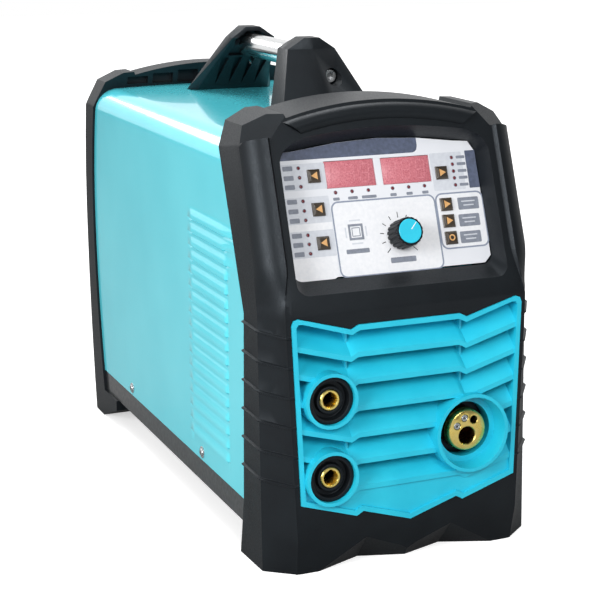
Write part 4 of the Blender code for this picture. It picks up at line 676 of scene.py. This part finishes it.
# %% Buttons and their marks
BUTTONS = ((-0.0576, 0.1098), (-0.0576, 0.0833), (-0.0576, 0.0566), (0.0542, 0.1050), (0.0542, 0.0790),
           (0.0542, 0.0654), (0.0542, 0.0516))
BROWN_ABS = powder_coat("moulded_brown_black_abs", "#332a20", "#403526", 0.34, 0.00002)
TAN = ink("ink_tan_orange", "#cf9c60", "#d9a970")


def button_shape(name, x, v):
    """Square rings at rising heights: flange, skirt, shoulder and top."""
    half = np.array([0.0065, 0.0065, 0.0053, 0.0053, 0.0051, 0.0036, 0.0034])
    high = np.array([-0.0035, -0.0023, -0.0023, 0.0010, 0.0013, 0.0023, 0.0023])
    ring = np.array([[-1, -1], [1, -1], [1, 1], [-1, 1]])
    grid = np.concatenate([ring[None] * half[:, None, None], np.tile(high[:, None, None], (1, 4, 1))], -1)
    return capped(name, put(grid, at(FOIL_FACE, x, v)))


def arrow(x, v, side):
    """Triangle whose tip points to one side, 0.07 mm thick on the button's top."""
    outline = np.array([[side * 0.0030, 0], [-side * 0.0024, 0.0031], [-side * 0.0024, -0.0031]])
    return prism(outline, 0.00231, 0.00238, at(FOIL_FACE, x, v))


for k, (x, v) in enumerate(BUTTONS, 1):
    body = "push_button_%d" % k
    own("button_%d" % k, button_shape("button_%d" % k, x, v), BROWN_ABS, "black_moulding", body, "button_%d" % k,
        edge=0.0002, sharp=15)
    if k < 7:
        printed("button_mark_%d" % k, arrow(x, v, -1 if k < 4 else 1), TAN, body)
ring = rounded([(0.0016, 0.00231), (0.0027, 0.00231), (0.0027, 0.00239), (0.0016, 0.00239)], 0.00001)
turned("button_mark_7", ring, at(FOIL_FACE, *BUTTONS[6]), 40, TAN, "panel_foil", "push_button_7", ring=True, sharp=20)

# %% [markdown]
# ## Knob
# A fluted thermoplastic knob with a coloured snap-in cap. The flutes are a cosine wave on the
# radius, flattened so that the lands stay wide, and it fades out at the top edge.

# %% Knob, cap, index line and scale
KNOB_SPOT = at(FOIL_FACE, 0.0095, 0.0576)


def knob_shape():
    """Radius over turn and height: R less a flute depth times a clipped cosine of 18 turns, faded
    by height; the profile goes up the skirt, round the rim and into the cap's seat."""
    profile = np.array([(0.0, 0.0010), (0.0118, 0.0010), (0.0118, 0.0016), (0.0117, 0.0090), (0.0116, 0.0165),
                        (0.0114, 0.0178), (0.0108, 0.0185), (0.0101, 0.0185), (0.0100, 0.0183), (0.0100, 0.0173),
                        (0.0, 0.0173)])
    depth = np.array([0, 1, 1, 1, 0.9, 0.4, 0, 0, 0, 0, 0])[:, None] * 0.0009
    turn = np.linspace(0, 2 * np.pi, 216, endpoint=False)
    wave = np.clip(np.cos(18 * turn) * 1.6 - 0.3, 0, 1)
    r = profile[:, :1] - depth * wave * (profile[:, :1] > 0)
    grid = np.stack([r * np.cos(turn), r * np.sin(turn), profile[:, 1:] + 0 * turn], -1)
    return mesh_of("knob", put(grid, KNOB_SPOT), quads(len(profile), len(turn), closed=True))


own("knob", knob_shape(), BLACK_ABS, "black_moulding", "dial", "knob", sharp=35)
cap = [(0, 0.0176), (0.0096, 0.0176), (0.0097, 0.0184), (0.0093, 0.0188), (0, 0.0188)]
turned("knob_cap", cap, KNOB_SPOT, 72, CYAN_ABS, "cyan_moulding", "dial", "knob_cap")


def index_line():
    """Thin radial bar on the cap at 48 degrees, 1.5 to 9 mm out and 0.7 mm wide."""
    along = np.array([np.cos(np.radians(48)), np.sin(np.radians(48))])
    across = np.array([-along[1], along[0]]) * 0.00035
    start, end = along * 0.0015, along * 0.0090
    return prism([start - across, end - across, end + across, start + across], 0.01881, 0.01890, KNOB_SPOT)


printed("knob_index", index_line(), INK_WHITE, "dial")


def scale_marks():
    """Eleven radial bars round the knob, from 225 to -45 degrees, longer at the ends and middle."""
    angle = np.radians(np.linspace(225, -45, 11))
    along = np.stack([np.cos(angle), np.sin(angle)], -1)
    across = np.stack([-along[:, 1], along[:, 0]], -1) * 0.00032
    reach = np.where(np.arange(11) % 5 == 0, 0.0188, 0.0176)[:, None]
    start = along * 0.0142
    ring = np.stack([start - across, along * reach - across, along * reach + across, start + across], 1)
    return plates(ring, INK_FOOT, 0.00006, KNOB_SPOT)


printed("knob_scale", scale_marks(), INK_BLACK)

# %% [markdown]
# ## Key symbol
# Beside the knob the panel shows a small square key in a frame. It is drawn as two square rings.

# %% Square symbol
def square_ring(name, half, wide, lift):
    """Frame between two squares, as a profile of four corners carried round the square."""
    corners = np.array([[-1, -1], [1, -1], [1, 1], [-1, 1]])
    inner = half - wide
    levels = np.array([(half, INK_FOOT), (half, lift), (inner, lift), (inner, INK_FOOT), (half, INK_FOOT)])
    grid = np.concatenate([corners[None] * levels[:, :1, None], np.tile(levels[:, 1:, None], (1, 4, 1))], -1)
    printed(name, (put(grid, at(FOIL_FACE, -0.0284, 0.0632)), quads(5, 4, closed=True)), INK_LABEL)


square_ring("symbol_outer", 0.0064, 0.0019, 0.00006)
square_ring("symbol_inner", 0.0036, 0.0007, 0.00007)

# %% [markdown]
# ## Sheet cover
# The cover is one sheet, folded over two long corners of 22 mm and powder coated. Seen from the
# end it is a line: up one side, round a corner, over a slightly crowned roof and down again.
# Seen from the side, both ends are cut to follow the two bezels. So the surface is a grid of
# "along the line" by "front to rear", and the louvres are a height added to its left side.

# %% Values of the cover
SEAM_AT, REAR_AT, HALF, ROOF, CORNER, SHEET = -0.18802, 0.24812, 0.1198, 0.3370, 0.0220, 0.0012
SEAM_KINK, SEAM_LEAN = 0.203, 0.418
LIP_TOP, LIP_STEP, LOUVRES = 0.2572, 0.01175, 17


def seam_y(z):
    """Front edge of the cover: straight, with a kink where the control section leans back."""
    return (SEAM_AT + 0.0212 * np.maximum(0, SEAM_KINK - z) + 0.147 * np.maximum(0, 0.048 - z)
            + SEAM_LEAN * np.maximum(0, z - SEAM_KINK))


def rear_seam_y(z):
    """Rear edge: a square-law bend away from mid height."""
    t = z - 0.215
    return REAR_AT - 0.023 - np.where(t < 0, 0.02912 * (t / 0.215) ** 2, 0.03267 * (t / 0.165) ** 2)


def smooth(t):
    """Smooth step from 0 to 1: t squared times (3 - 2t), t held between 0 and 1."""
    t = np.clip(t, 0, 1)
    return t * t * (3 - 2 * t)


def louvre_height(y, z):
    """Outward height of 17 pressed louvres: full at the lower lip, faded upwards over 8 mm by a
    cosine, rounded off at the front end as an ellipse and run out slowly at the rear; a
    slot 1 mm deep lies under each lip."""
    k = np.clip(np.round((0.2595 - z) / LIP_STEP), 0, LOUVRES - 1)
    s = z - (LIP_TOP - LIP_STEP * k)
    ends = np.sqrt(np.clip(1 - (np.clip(-0.1490 - y, 0, 0.004) / 0.004) ** 2, 0, 1)) * smooth((-0.0580 - y) / 0.014)
    up = np.cos(np.clip(s / 0.0078, 0, 1) * np.pi / 2) ** 0.9
    slot = -0.48 * smooth((s + 0.0017) / 0.0004) * (s < -0.00025)
    return 0.0020 * ends * np.where(s >= -0.0001, up, slot) * (s > -0.0022)


# %% Grid of the cover
def cover_line():
    """Points of the end view, right foot to left foot, with close rows at every louvre's lip."""
    louvre = (LIP_TOP - LIP_STEP * np.arange(LOUVRES))[:, None] + np.array(
        [-0.0018, -0.0013, -0.0003, -0.00005, 0.0007, 0.0017, 0.0028, 0.0040, 0.0053, 0.0068, 0.0079])
    side = np.unique(np.round(np.r_[louvre.ravel(), 0.0485, 0.0520, 0.0600, np.linspace(0.2680, 0.3132, 9)], 6))
    plain = np.linspace(0.0485, 0.3132, 24)
    turn = np.radians(np.linspace(0, 90, 13))[1:-1]
    roof = np.linspace(HALF - CORNER, -HALF + CORNER, 33)
    crown = ROOF - 0.0018 * (np.abs(roof) / (HALF - CORNER)) ** 2.2
    bend_z = ROOF - 0.0018 - CORNER
    right = np.column_stack([np.full(24, HALF), plain])
    arc = np.column_stack([HALF - CORNER + CORNER * np.cos(turn), bend_z + CORNER * np.sin(turn)])
    left = np.column_stack([np.full(len(side), -HALF), side[::-1]])
    return np.vstack([right, arc, np.column_stack([roof, crown]), (arc * [-1, 1])[::-1], left])


def shell_of(outer, inner):
    """Closed shell from two matching grids: both skins and a strip round the four borders."""
    rows, cols = outer.shape[:2]
    n = rows * cols
    ids = np.arange(n).reshape(rows, cols)
    rim = np.r_[ids[0, :-1], ids[:-1, -1], ids[-1, :0:-1], ids[:0:-1, 0]]
    strip = np.stack([rim, np.roll(rim, -1), np.roll(rim, -1) + n, rim + n], -1)
    skin = quads(rows, cols)
    return np.concatenate([outer.reshape(-1, 3), inner.reshape(-1, 3)]), skin, skin[:, ::-1] + n, strip


def cover_skin(inset):
    """Grid point = end-view point moved in by the sheet, at a share of the way from the front
    seam to the rear seam at that height; the left side adds the louvres."""
    line = cover_line()
    step = np.gradient(line, axis=0)
    normal = np.column_stack([step[:, 1], -step[:, 0]])
    normal /= np.linalg.norm(normal, axis=1, keepdims=True)
    at_end = line - normal * inset
    share = np.unique(np.r_[np.linspace(0, 1, 25), np.linspace(0.06, 0.14, 24), np.linspace(0.14, 0.40, 40)])
    z = line[:, 1:2]
    y = seam_y(z) + 0.0004 + share * (rear_seam_y(z) - seam_y(z) - 0.0010)
    side = line[:, :1] <= -HALF + 0.000001
    out = louvre_height(y, z) * side
    return np.stack([at_end[:, :1] - out, y, at_end[:, 1:2] + 0 * y], -1)


def carved(mesh, *cutters, keep="DIFFERENCE"):
    """Exact boolean of a closed mesh with others, worked out once and kept as plain faces."""
    block = fresh("block", mesh)
    tools = [fresh("tool", cutter) for cutter in cutters]
    for tool in tools:
        step = block.modifiers.new("carve", "BOOLEAN")
        step.operation, step.solver, step.object = keep, "EXACT", tool
    bpy.context.view_layer.update()
    made = bpy.data.meshes.new_from_object(block.evaluated_get(bpy.context.evaluated_depsgraph_get()))
    for spare in (block, *tools):
        bpy.data.objects.remove(spare, do_unlink=True)
    return made


DOOR_REAR, DOOR_FOOT, DOOR_HEAD, KNEE = 0.18002, 0.0720, 0.3000, 0.2420
HINGE_AT = (0.115, 0.255)
SIDE_VIEW = np.array([[0, 0, 1, 0], [1, 0, 0, 0], [0, 1, 0, 0], [0, 0, 0, 1.0]])


def door_way():
    """Outline of the door opening in the right side, its upper front edge parallel to the seam."""
    front = SEAM_AT + 0.026
    return [(front, DOOR_FOOT), (DOOR_REAR, DOOR_FOOT), (DOOR_REAR, DOOR_HEAD),
            (front + SEAM_LEAN * (DOOR_HEAD - KNEE), DOOR_HEAD), (front, KNEE)]


points, *faces = shell_of(cover_skin(0.0), cover_skin(SHEET))
holes = [mesh_of("door_way", *prism(door_way(), 0.08, 0.15, SIDE_VIEW))]
for z in HINGE_AT:
    low, high = z - 0.0158, z + 0.0158
    notch = [(0.1782, low), (0.1826, low), (0.1826, high), (0.1782, high)]
    holes.append(mesh_of("notch", *prism(notch, 0.08, 0.15, SIDE_VIEW)))
sheet = carved(mesh_of("cover_sheet", points, *faces), *holes)
own("cover_sheet", sheet, CYAN_COAT, "cyan_paint", "machine", "cover", sharp=50)

# %% [markdown]
# ## Front bezel
# The bezel is one ABS moulding. Cut level at any height, its outline runs from the cover's seam
# along the flank, round the corner and over to the front: a plain chamfer below, a half-round
# column beside the panel. So the body is a grid of "height" by "way round", where thin fins are
# added to the corner and climb 4 mm to the rear. Mouth, grille opening, foot and ears are then
# cut the way the mould's inserts leave them.

# %% Sections of the bezel
FINS = 0.1947 - 0.0236 * np.arange(6)


def front_y(z):
    """Front plane: a slight lean up to the kink, then the steeper lean of the control section."""
    return FOOT_Y + FRONT_LEAN * np.minimum(z, KINK) + PANEL_LEAN * np.maximum(0, z - KINK)


def bezel_body():
    """Right half of each section, flank to front, then its mirror image; a share (blend) turns
    the chamfer's chord into a quarter ellipse above the kink, and a fin adds a bump of 2 mm."""
    z = np.unique(np.r_[0, 0.006, 0.014, 0.022, 0.0284, 0.030, 0.040, 0.048, 0.056, 0.064, 0.1985, 0.203, 0.2055,
                        (FINS[:, None] + np.array([-14, -12.5, -10, -7, -4, 0, 4, 7, 10, 12.5, 14]) * 0.0001).ravel(),
                        FINS - 0.0118, np.linspace(0.209, 0.257, 13), np.linspace(0.27, 0.400, 8)])[:, None]
    blend = smooth((z - KINK + 0.004) / 0.042)
    foot = np.clip(1 - z / 0.03, 0, 1)
    near = np.min(np.abs(z - FINS), axis=1, keepdims=True)
    fin = 0.0020 * smooth((0.00135 - near) / 0.0009)
    face = front_y(z)
    edge_x, edge_y = HALF - 0.0015 + 0 * z, face + 0.024 - 0.005 * blend
    low_x = 0.09445 + 0.04 * (z - 0.059) + 0.0035
    crease_x = low_x + (0.0970 - low_x) * blend
    crease_y = face + 0.0005 * (1 - blend) + 0.006 * foot
    a = np.linspace(0, 1, 5)[None, :-1]
    flank_x = HALF + fin + (edge_x + 0.9 * fin - HALF - fin) * a
    flank_y = seam_y(z) + (edge_y - 0.4 * fin - seam_y(z)) * a
    t = np.linspace(0, 1, 14)[None, :-1]
    flat_x, flat_y = edge_x + (crease_x - edge_x) * t, edge_y + (crease_y - edge_y) * t
    round_x = crease_x + (edge_x - crease_x) * np.cos(t * np.pi / 2)
    round_y = edge_y - (edge_y - crease_y + 0.0035) * np.sin(t * np.pi / 2)
    corner_x = flat_x * (1 - blend) + round_x * blend + (0.9 - 0.2 * t) * fin
    corner_y = flat_y * (1 - blend) + round_y * blend - (0.4 + 0.3 * t) * fin
    ends_x = np.hstack([crease_x + 0.0006, crease_x, crease_x - 0.004])
    ends_y = np.hstack([crease_y - 0.0012 * blend - 0.4 * fin, crease_y - 0.4 * fin, face + 0.006 * foot])
    x = np.hstack([flank_x, corner_x, ends_x])
    y = np.hstack([flank_y, corner_y, ends_y])
    along = (y - face) / (seam_y(z) - face)
    climb = 0.0040 * (along - 0.5) * smooth((z - 0.050) / 0.018) * smooth((0.2025 - z) / 0.005)
    up = z + climb
    y = y + (front_y(up) - face) * (1 - along) + (seam_y(up) - seam_y(z)) * along
    half = np.stack([x, y, up], -1)
    return capped("bezel_body", np.concatenate([half, half[:, ::-1] * [-1, 1, 1]], 1))


# %% Inserts of the mould
def mirrored(right):
    """Closed outline from its right half, crown to foot."""
    right = np.asarray(right, float)
    left = right[::-1] * [-1, 1]
    return np.vstack([right, left[1:] if right[-1, 0] == 0 else left])[:-1 if right[0, 0] == 0 else None]


def hull_of(points, place):
    """Convex solid round a few points."""
    shape = bmesh.new()
    for point in put(np.array(points), place):
        shape.verts.new(point)
    made = bmesh.ops.convex_hull(shape, input=shape.verts)
    inside = [v for v in made["geom_interior"] if isinstance(v, bmesh.types.BMVert)]
    bmesh.ops.delete(shape, geom=inside, context="VERTS")
    bmesh.ops.recalc_face_normals(shape, faces=shape.faces)
    mesh = bpy.data.meshes.new("hull")
    shape.to_mesh(mesh)
    shape.free()
    return mesh


CROSS = np.array([[1, 0, 0, 0], [0, 0, -1, 0], [0, 1, 0, 0], [0, 0, 0, 1.0]])
ARCH_R, CROWN = 0.3230, 0.3625
arch_x = np.linspace(0, 0.081, 25)
arch_z = CROWN - ARCH_R + np.sqrt(ARCH_R ** 2 - arch_x ** 2)
ear = arch_z[-1] + 0.003
view = mirrored(np.vstack([np.column_stack([arch_x, arch_z]),
                           [(0.0822, ear), (0.0930, ear - 0.0006), (0.1110, CROWN - 0.0165), (0.1196, CROWN - 0.0355),
                            (0.1298, CROWN - 0.0415), (0.1298, -0.01)]]))


def mouth_ring(depth, share):
    """Outline of the panel's recess at a depth: the mouth's sizes run to the panel's by share."""
    half, low, side, crown = (np.array([0.0915, 0.0150, 0.1290, 0.1424]) * (1 - share)
                              + np.array([0.0880, 0.0290, 0.1300, 0.1372]) * share)
    half, low, side, crown = half + 0.0003, low - 0.0003, side + 0.0003, crown + 0.0003
    bow = np.linspace(0, half - 0.020, 7)
    right = [(x, crown - 0.0062 * (x / (half - 0.018)) ** 1.8) for x in bow]
    right += [(half - 0.0055, side), (half - 0.0005, side - 0.009), (half, low + 0.006), (half - 0.006, low)]
    ring = rounded(mirrored(right), 0.0035, 3)
    return np.column_stack([ring, np.full(len(ring), -depth)])


rings = np.stack([mouth_ring(d, s) for d, s in ((-0.030, 0), (0.0, 0), (0.016, 0.94), (0.097, 1))])
recess = capped("recess", put(rings, PANEL_FACE))
out, up = 0.0504, 0.000345
opening = mirrored([(0, 0.1981 + up), (0.0444, 0.1981 + up), (out, 0.1949 + up), (0.09474, 0.2073 + up),
                    (0.09884, 0.2061 + up), (0.10044, 0.2022), (0.09475, 0.0588), (0.0470, 0.0440 - up),
                    (0.0412, 0.0472 - up), (0, 0.0344 - up)])
grille_hole = mesh_of("grille_hole", *prism(opening, -0.12, 0.03, GRILLE_FACE))


def foot_cuts():
    """Two hulls a side that facet the lower front edge between three stations."""
    front, y0 = FOOT_Y - 0.02, front_y(0.02) - 0.0005
    stations = [((0.0, 0.0140), (0.0, FOOT_Y + 0.0100)), ((0.038, 0.0265), (0.037, FOOT_Y + 0.0215)),
                ((0.077, 0.0030), (0.080, FOOT_Y + 0.0050))]
    return [hull_of([p for (x, z), (xb, yb) in stations[k:k + 2] for p in (
        (s * x, y0, z), (s * x, front, z), (s * xb, yb, 0), (s * x, front, -0.01), (s * xb, yb + 0.0005, -0.002))],
        np.eye(4)) for s in (-1, 1) for k in (0, 1)]


def arch_band():
    """Tube of 7.8 mm radius along the arch: centre line plus radius times cosine and sine of the
    turn, on two axes square to the line."""
    x = np.linspace(-0.0885, 0.0885, 61)
    z = CROWN - 0.0100 - ARCH_R + np.sqrt(ARCH_R ** 2 - x ** 2)
    line = np.column_stack([x, front_y(z) + 0.0042, z])
    ahead = np.gradient(line, axis=0)
    ahead /= np.linalg.norm(ahead, axis=1, keepdims=True)
    side = np.cross(ahead, PANEL_FACE[:3, 2])
    side /= np.linalg.norm(side, axis=1, keepdims=True)
    other = np.cross(ahead, side)
    turn = np.linspace(0, 2 * np.pi, 40, endpoint=False)[None, :, None]
    return capped("arch_band", line[:, None] + 0.0078 * (np.cos(turn) * side[:, None] + np.sin(turn) * other[:, None]))


def ear_cuts():
    """Sinking facet over each column and the flat triangle that ends the band, as hulls."""
    tools = []
    for s in (-1, 1):
        facet = []
        for v in (0.1382, 0.1700):
            for x in (0.0954 - 0.50 / 0.61 * (v - 0.1382), 0.1298):
                sink = -0.61 * (x - 0.0954) - 0.50 * (v - 0.1382)
                facet += [(s * x, v, sink), (s * x, v, 0.030)]
        flat = [(s * x, v, h) for x, v in ((0.0704, 0.1250), (0.0962, 0.1250), (0.0962, 0.1382), (0.0862, 0.1511),
                                           (0.0704, 0.1404)) for h in (0.0001, 0.030)]
        tools += [hull_of(facet, PANEL_FACE), hull_of(flat, PANEL_FACE)]
    return tools


# %% Carve the bezel
bezel = carved(bezel_body(), mesh_of("view", *prism(view, -0.05, 0.30, CROSS)), keep="INTERSECT")
bezel = carved(bezel, recess, grille_hole, *foot_cuts())
bezel = carved(bezel, arch_band(), keep="UNION")
bezel = carved(bezel, *ear_cuts())
own("bezel_moulding", cleaned(bezel, 0.00002, 0.4), BLACK_ABS, "black_moulding", "machine", "front_bezel",
    edge=0.0009, sharp=24)

# %% [markdown]
# ## Side screws
# Two pan-head screws with washers hold each side of the cover to the tray. They are turned
# profiles with a cross recess, four of them, in zinc-plated steel.

# %% Screws with washers
SCREW_Z, SCREW_ENDS = 0.0558, ((-0.087, "front"), (0.113, "rear"))


def screw_shape(y, side):
    """Washer and pan head as one profile round the screw's axis; two crossed bars are cut out."""
    spot = np.array([[0, 0, side, side * HALF], [1, 0, 0, y], [0, side, 0, SCREW_Z], [0, 0, 0, 1.0]])
    profile = [(0, -0.0008), (0.0052, -0.0008), (0.0052, 0.0005), (0.0049, 0.0007), (0.0034, 0.0007), (0.0034, 0.0010),
               (0.0030, 0.0016), (0.0020, 0.0020), (0, 0.0021)]
    slots = [mesh_of("slot", *prism([(-a, -b), (a, -b), (a, b), (-a, b)], 0.0009, 0.004, spot))
             for a, b in ((0.0019, 0.00042), (0.00042, 0.0019))]
    return carved(mesh_of("screw", *revolved(profile, spot, 40)), *slots)


for side, word in ((-1, "left"), (1, "right")):
    for y, end in SCREW_ENDS:
        own("cover_screw_%s_%s" % (word, end), screw_shape(y, side), ZINC, "zinc_steel", "machine", sharp=35)

# %% [markdown]
# ## Cable sockets
# Each socket is a turned insulator with a stepped mouth round a brass sleeve. The insulator is a
# closed profile with softened corners, carried round the axis. The sleeve has a keyway that
# takes the plug's pin, cut with one bar.

# %% Sockets
for name, z in (("socket_upper", 0.1411), ("socket_lower", 0.0786)):
    spot = at(GRILLE_FACE, -0.0693, z)
    outline = [(0.0086, 0.0006), (0.0110, 0.0006), (0.0114, -0.0040), (0.0150, -0.0040), (0.0156, 0.0030),
               (0.0190, 0.0026), (0.0190, -0.0220), (0.0140, -0.0220), (0.0140, -0.0400), (0.0086, -0.0400)]
    turned(name + "_insulator", rounded(outline, 0.0007), spot, 96, BLACK_ABS, "black_moulding", "machine",
           name + "_body", ring=True, sharp=60)
    sleeve = [(0.0077, 0.0010), (0.0083, 0.0004), (0.0083, -0.0390), (0.0, -0.0390), (0.0, -0.0260), (0.0052, -0.0260),
              (0.0054, -0.0250), (0.0054, -0.0003), (0.0063, 0.0010)]
    keyway = [(-0.0022, 0.003), (0.0022, 0.003), (0.0013, 0.0068), (-0.0013, 0.0068)]
    sleeve = carved(mesh_of(name, *revolved(sleeve + sleeve[:1], spot, 96)),
                    mesh_of("key", *prism(keyway, -0.024, 0.01, spot)))
    own(name + "_sleeve", sleeve, BRASS, "brass", "machine", name + "_contact", sharp=40)

# %% [markdown]
# ## Torch connector
# The central connector is a brass body with a main bore for the wire guide, a gas hole and two
# small spring contacts, in an insulating seat. Its face is turned, so fine rings run round it.

# %% Connector and contacts
EURO_SPOT = at(GRILLE_FACE, 0.0540, 0.0995)
FACE = -0.004
PINS = ((-0.0022, 0.0102), (-0.0090, 0.0042))


def bore(x, y, radius, deep, chamfer=0.0006):
    """Cutter for a blind hole with a chamfered mouth, a turned profile on a shifted axis."""
    profile = [(0, FACE - deep), (radius, FACE - deep), (radius, FACE - chamfer), (radius + chamfer, FACE),
               (radius + chamfer, -FACE), (0, -FACE)]
    return mesh_of("bore", *revolved(profile, at(EURO_SPOT, x, y), 64))


profile = [(0, FACE), (0.0157, FACE), (0.0163, -0.0043), (0.0168, -0.0052), (0.0170, -0.0056), (0.0170, -0.0100),
           (0.0174, -0.0104), (0.0174, -0.0198), (0.0150, -0.0198), (0.0150, -0.042), (0.009, -0.042), (0.009, -0.048),
           (0, -0.048)]
holes = [bore(0, -0.0046, 0.0074, 0.024), bore(0.0060, 0.0080, 0.0034, 0.016, 0.0003),
         *(bore(x, y, 0.0031, 0.009, 0.0002) for x, y in PINS)]
face = carved(mesh_of("torch_connector", *revolved(profile, EURO_SPOT, 128)), *holes)
own("torch_connector", face, BRASS, "brass", "machine", "euro_connector", sharp=40)
for k, (x, y) in enumerate(PINS, 1):
    pin = [(0, -0.0070), (0.0009, -0.0068), (0.0012, -0.0060), (0.0012, -0.0043), (0.0015, -0.0040), (0.0024, -0.0040),
           (0.0028, -0.0044), (0.0028, -0.0127), (0, -0.0127)]
    turned("spring_contact_%d" % k, pin, at(EURO_SPOT, x, y), 40, ZINC, "zinc_steel", "machine",
           "control_contact_%d" % k)
seat = rounded([(0.0153, -0.0201), (0.0225, -0.0201), (0.0225, -0.0240), (0.0153, -0.0240)], 0.0005)
turned("connector_seat", seat, EURO_SPOT, 96, BLACK_ABS, "black_moulding", "machine", "euro_seat", ring=True, sharp=60)

# %% [markdown]
# ## Handle
# Each post is a hood of thin plastic: the tube runs deep into it and stops short of its back
# wall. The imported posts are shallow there, so a merged copy of each is opened with one more hull,
# and the front one gets the wider counterbore that its bolt sits in. The tube is drawn steel,
# polished along its length: a ring of circles along Y with rolled ends.

# %% Posts and tube
POCKET = ((0.0186, 0.3725), (0.0178, 0.3888), (0.0065, 0.3962))      # half width and height of the hood's hollow
GRIP_Z, BOLT_Z, LONGER = 0.3830, 0.3680, 0.0022
BACKWARDS = np.array([[1, 0, 0, 0.0122], [0, 0, -1, -0.0500], [0, 1, 0, BOLT_Z], [0, 0, 0, 1.0]])
counterbore = mesh_of("counterbore", *revolved([(0, 0.0), (0.0072, 0.0), (0.0076, 0.030), (0, 0.030)], BACKWARDS, 48))
for word, mouth, back, more in (("front", -0.0180, -0.0385, [counterbore]), ("rear", 0.0860, 0.1056, [])):
    hood = hull_of([(s * x * k, y, z) for x, z in POCKET for s in (-1, 1) for y, k in ((mouth, 1.0), (back, 0.72))],
                   np.eye(4))
    merged = cleaned(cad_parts["handle_post_" + word].data.copy(), 0.000005, 0.3)
    post = carved(merged, hood, *more)
    own("post_" + word, post, BLACK_ABS, "black_moulding", "machine", "handle_post_" + word, edge=0.0008, sharp=28)

TUBE_FRAME = np.array([[1, 0, 0, 0], [0, 0, 1, 0], [0, -1, 0, GRIP_Z], [0, 0, 0, 1.0]])
front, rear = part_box("handle_tube")[0][1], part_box("handle_tube")[1][1] + LONGER
tube = [(0.0092, front), (0.0102, front), (0.0108, front + 0.0008), (0.0108, rear - 0.0008), (0.0102, rear),
        (0.0092, rear)]
turned("grip_tube", tube, TUBE_FRAME, 96, CHROME, "bright_tube", "machine", "handle_tube", ring=True, sharp=35)

# %% [markdown]
# ## Solids that keep their shape
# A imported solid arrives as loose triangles. Welding them in a modifier and rounding the sharp
# edges gives the thin highlight that every moulded or folded edge has, without touching the
# solid's own vertices.

# %% Dress the solids
LOOKS = {
    "black_moulding": BLACK_ABS, "cyan_moulding": CYAN_ABS, "cyan_paint": CYAN_COAT, "black_coat": BLACK_COAT,
    "brass": BRASS, "panel_foil": FOIL, "red_window": FILTER, "board": BOARD, "bright_tube": CHROME,
    "zinc_steel": ZINC, "aluminium": ALUMINIUM, "copper": COPPER,
}
ROUNDS = {"rear_bezel": 0.0008, "grille": 0.0005, "side_door": 0.0004}
PLAIN_ROUND = 0.0003


def dress(name, edge):
    """Weld a solid, round its sharp edges and give every slot its finish."""
    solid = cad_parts[name]
    for index, slot in enumerate(solid.material_slots):
        old = slot.material.name.split(".")[0] if slot.material else ""
        solid.material_slots[index].material = LOOKS.get(old, BLACK_ABS)
    solid.data.shade_smooth()
    weld = solid.modifiers.new("weld", "WELD")
    weld.merge_threshold = 0.000005
    round_edges(solid, edge, 28)
    even = solid.modifiers.new("even", "WEIGHTED_NORMAL")
    even.mode = "FACE_AREA"


kept = [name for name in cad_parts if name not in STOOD_FOR]
for name in kept:
    dress(name, ROUNDS.get(name, PLAIN_ROUND))
print("dressed", len(kept), "solids,", len(STOOD_FOR), "have a finer piece")

# %% Sizes of the shown objects
low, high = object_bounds()
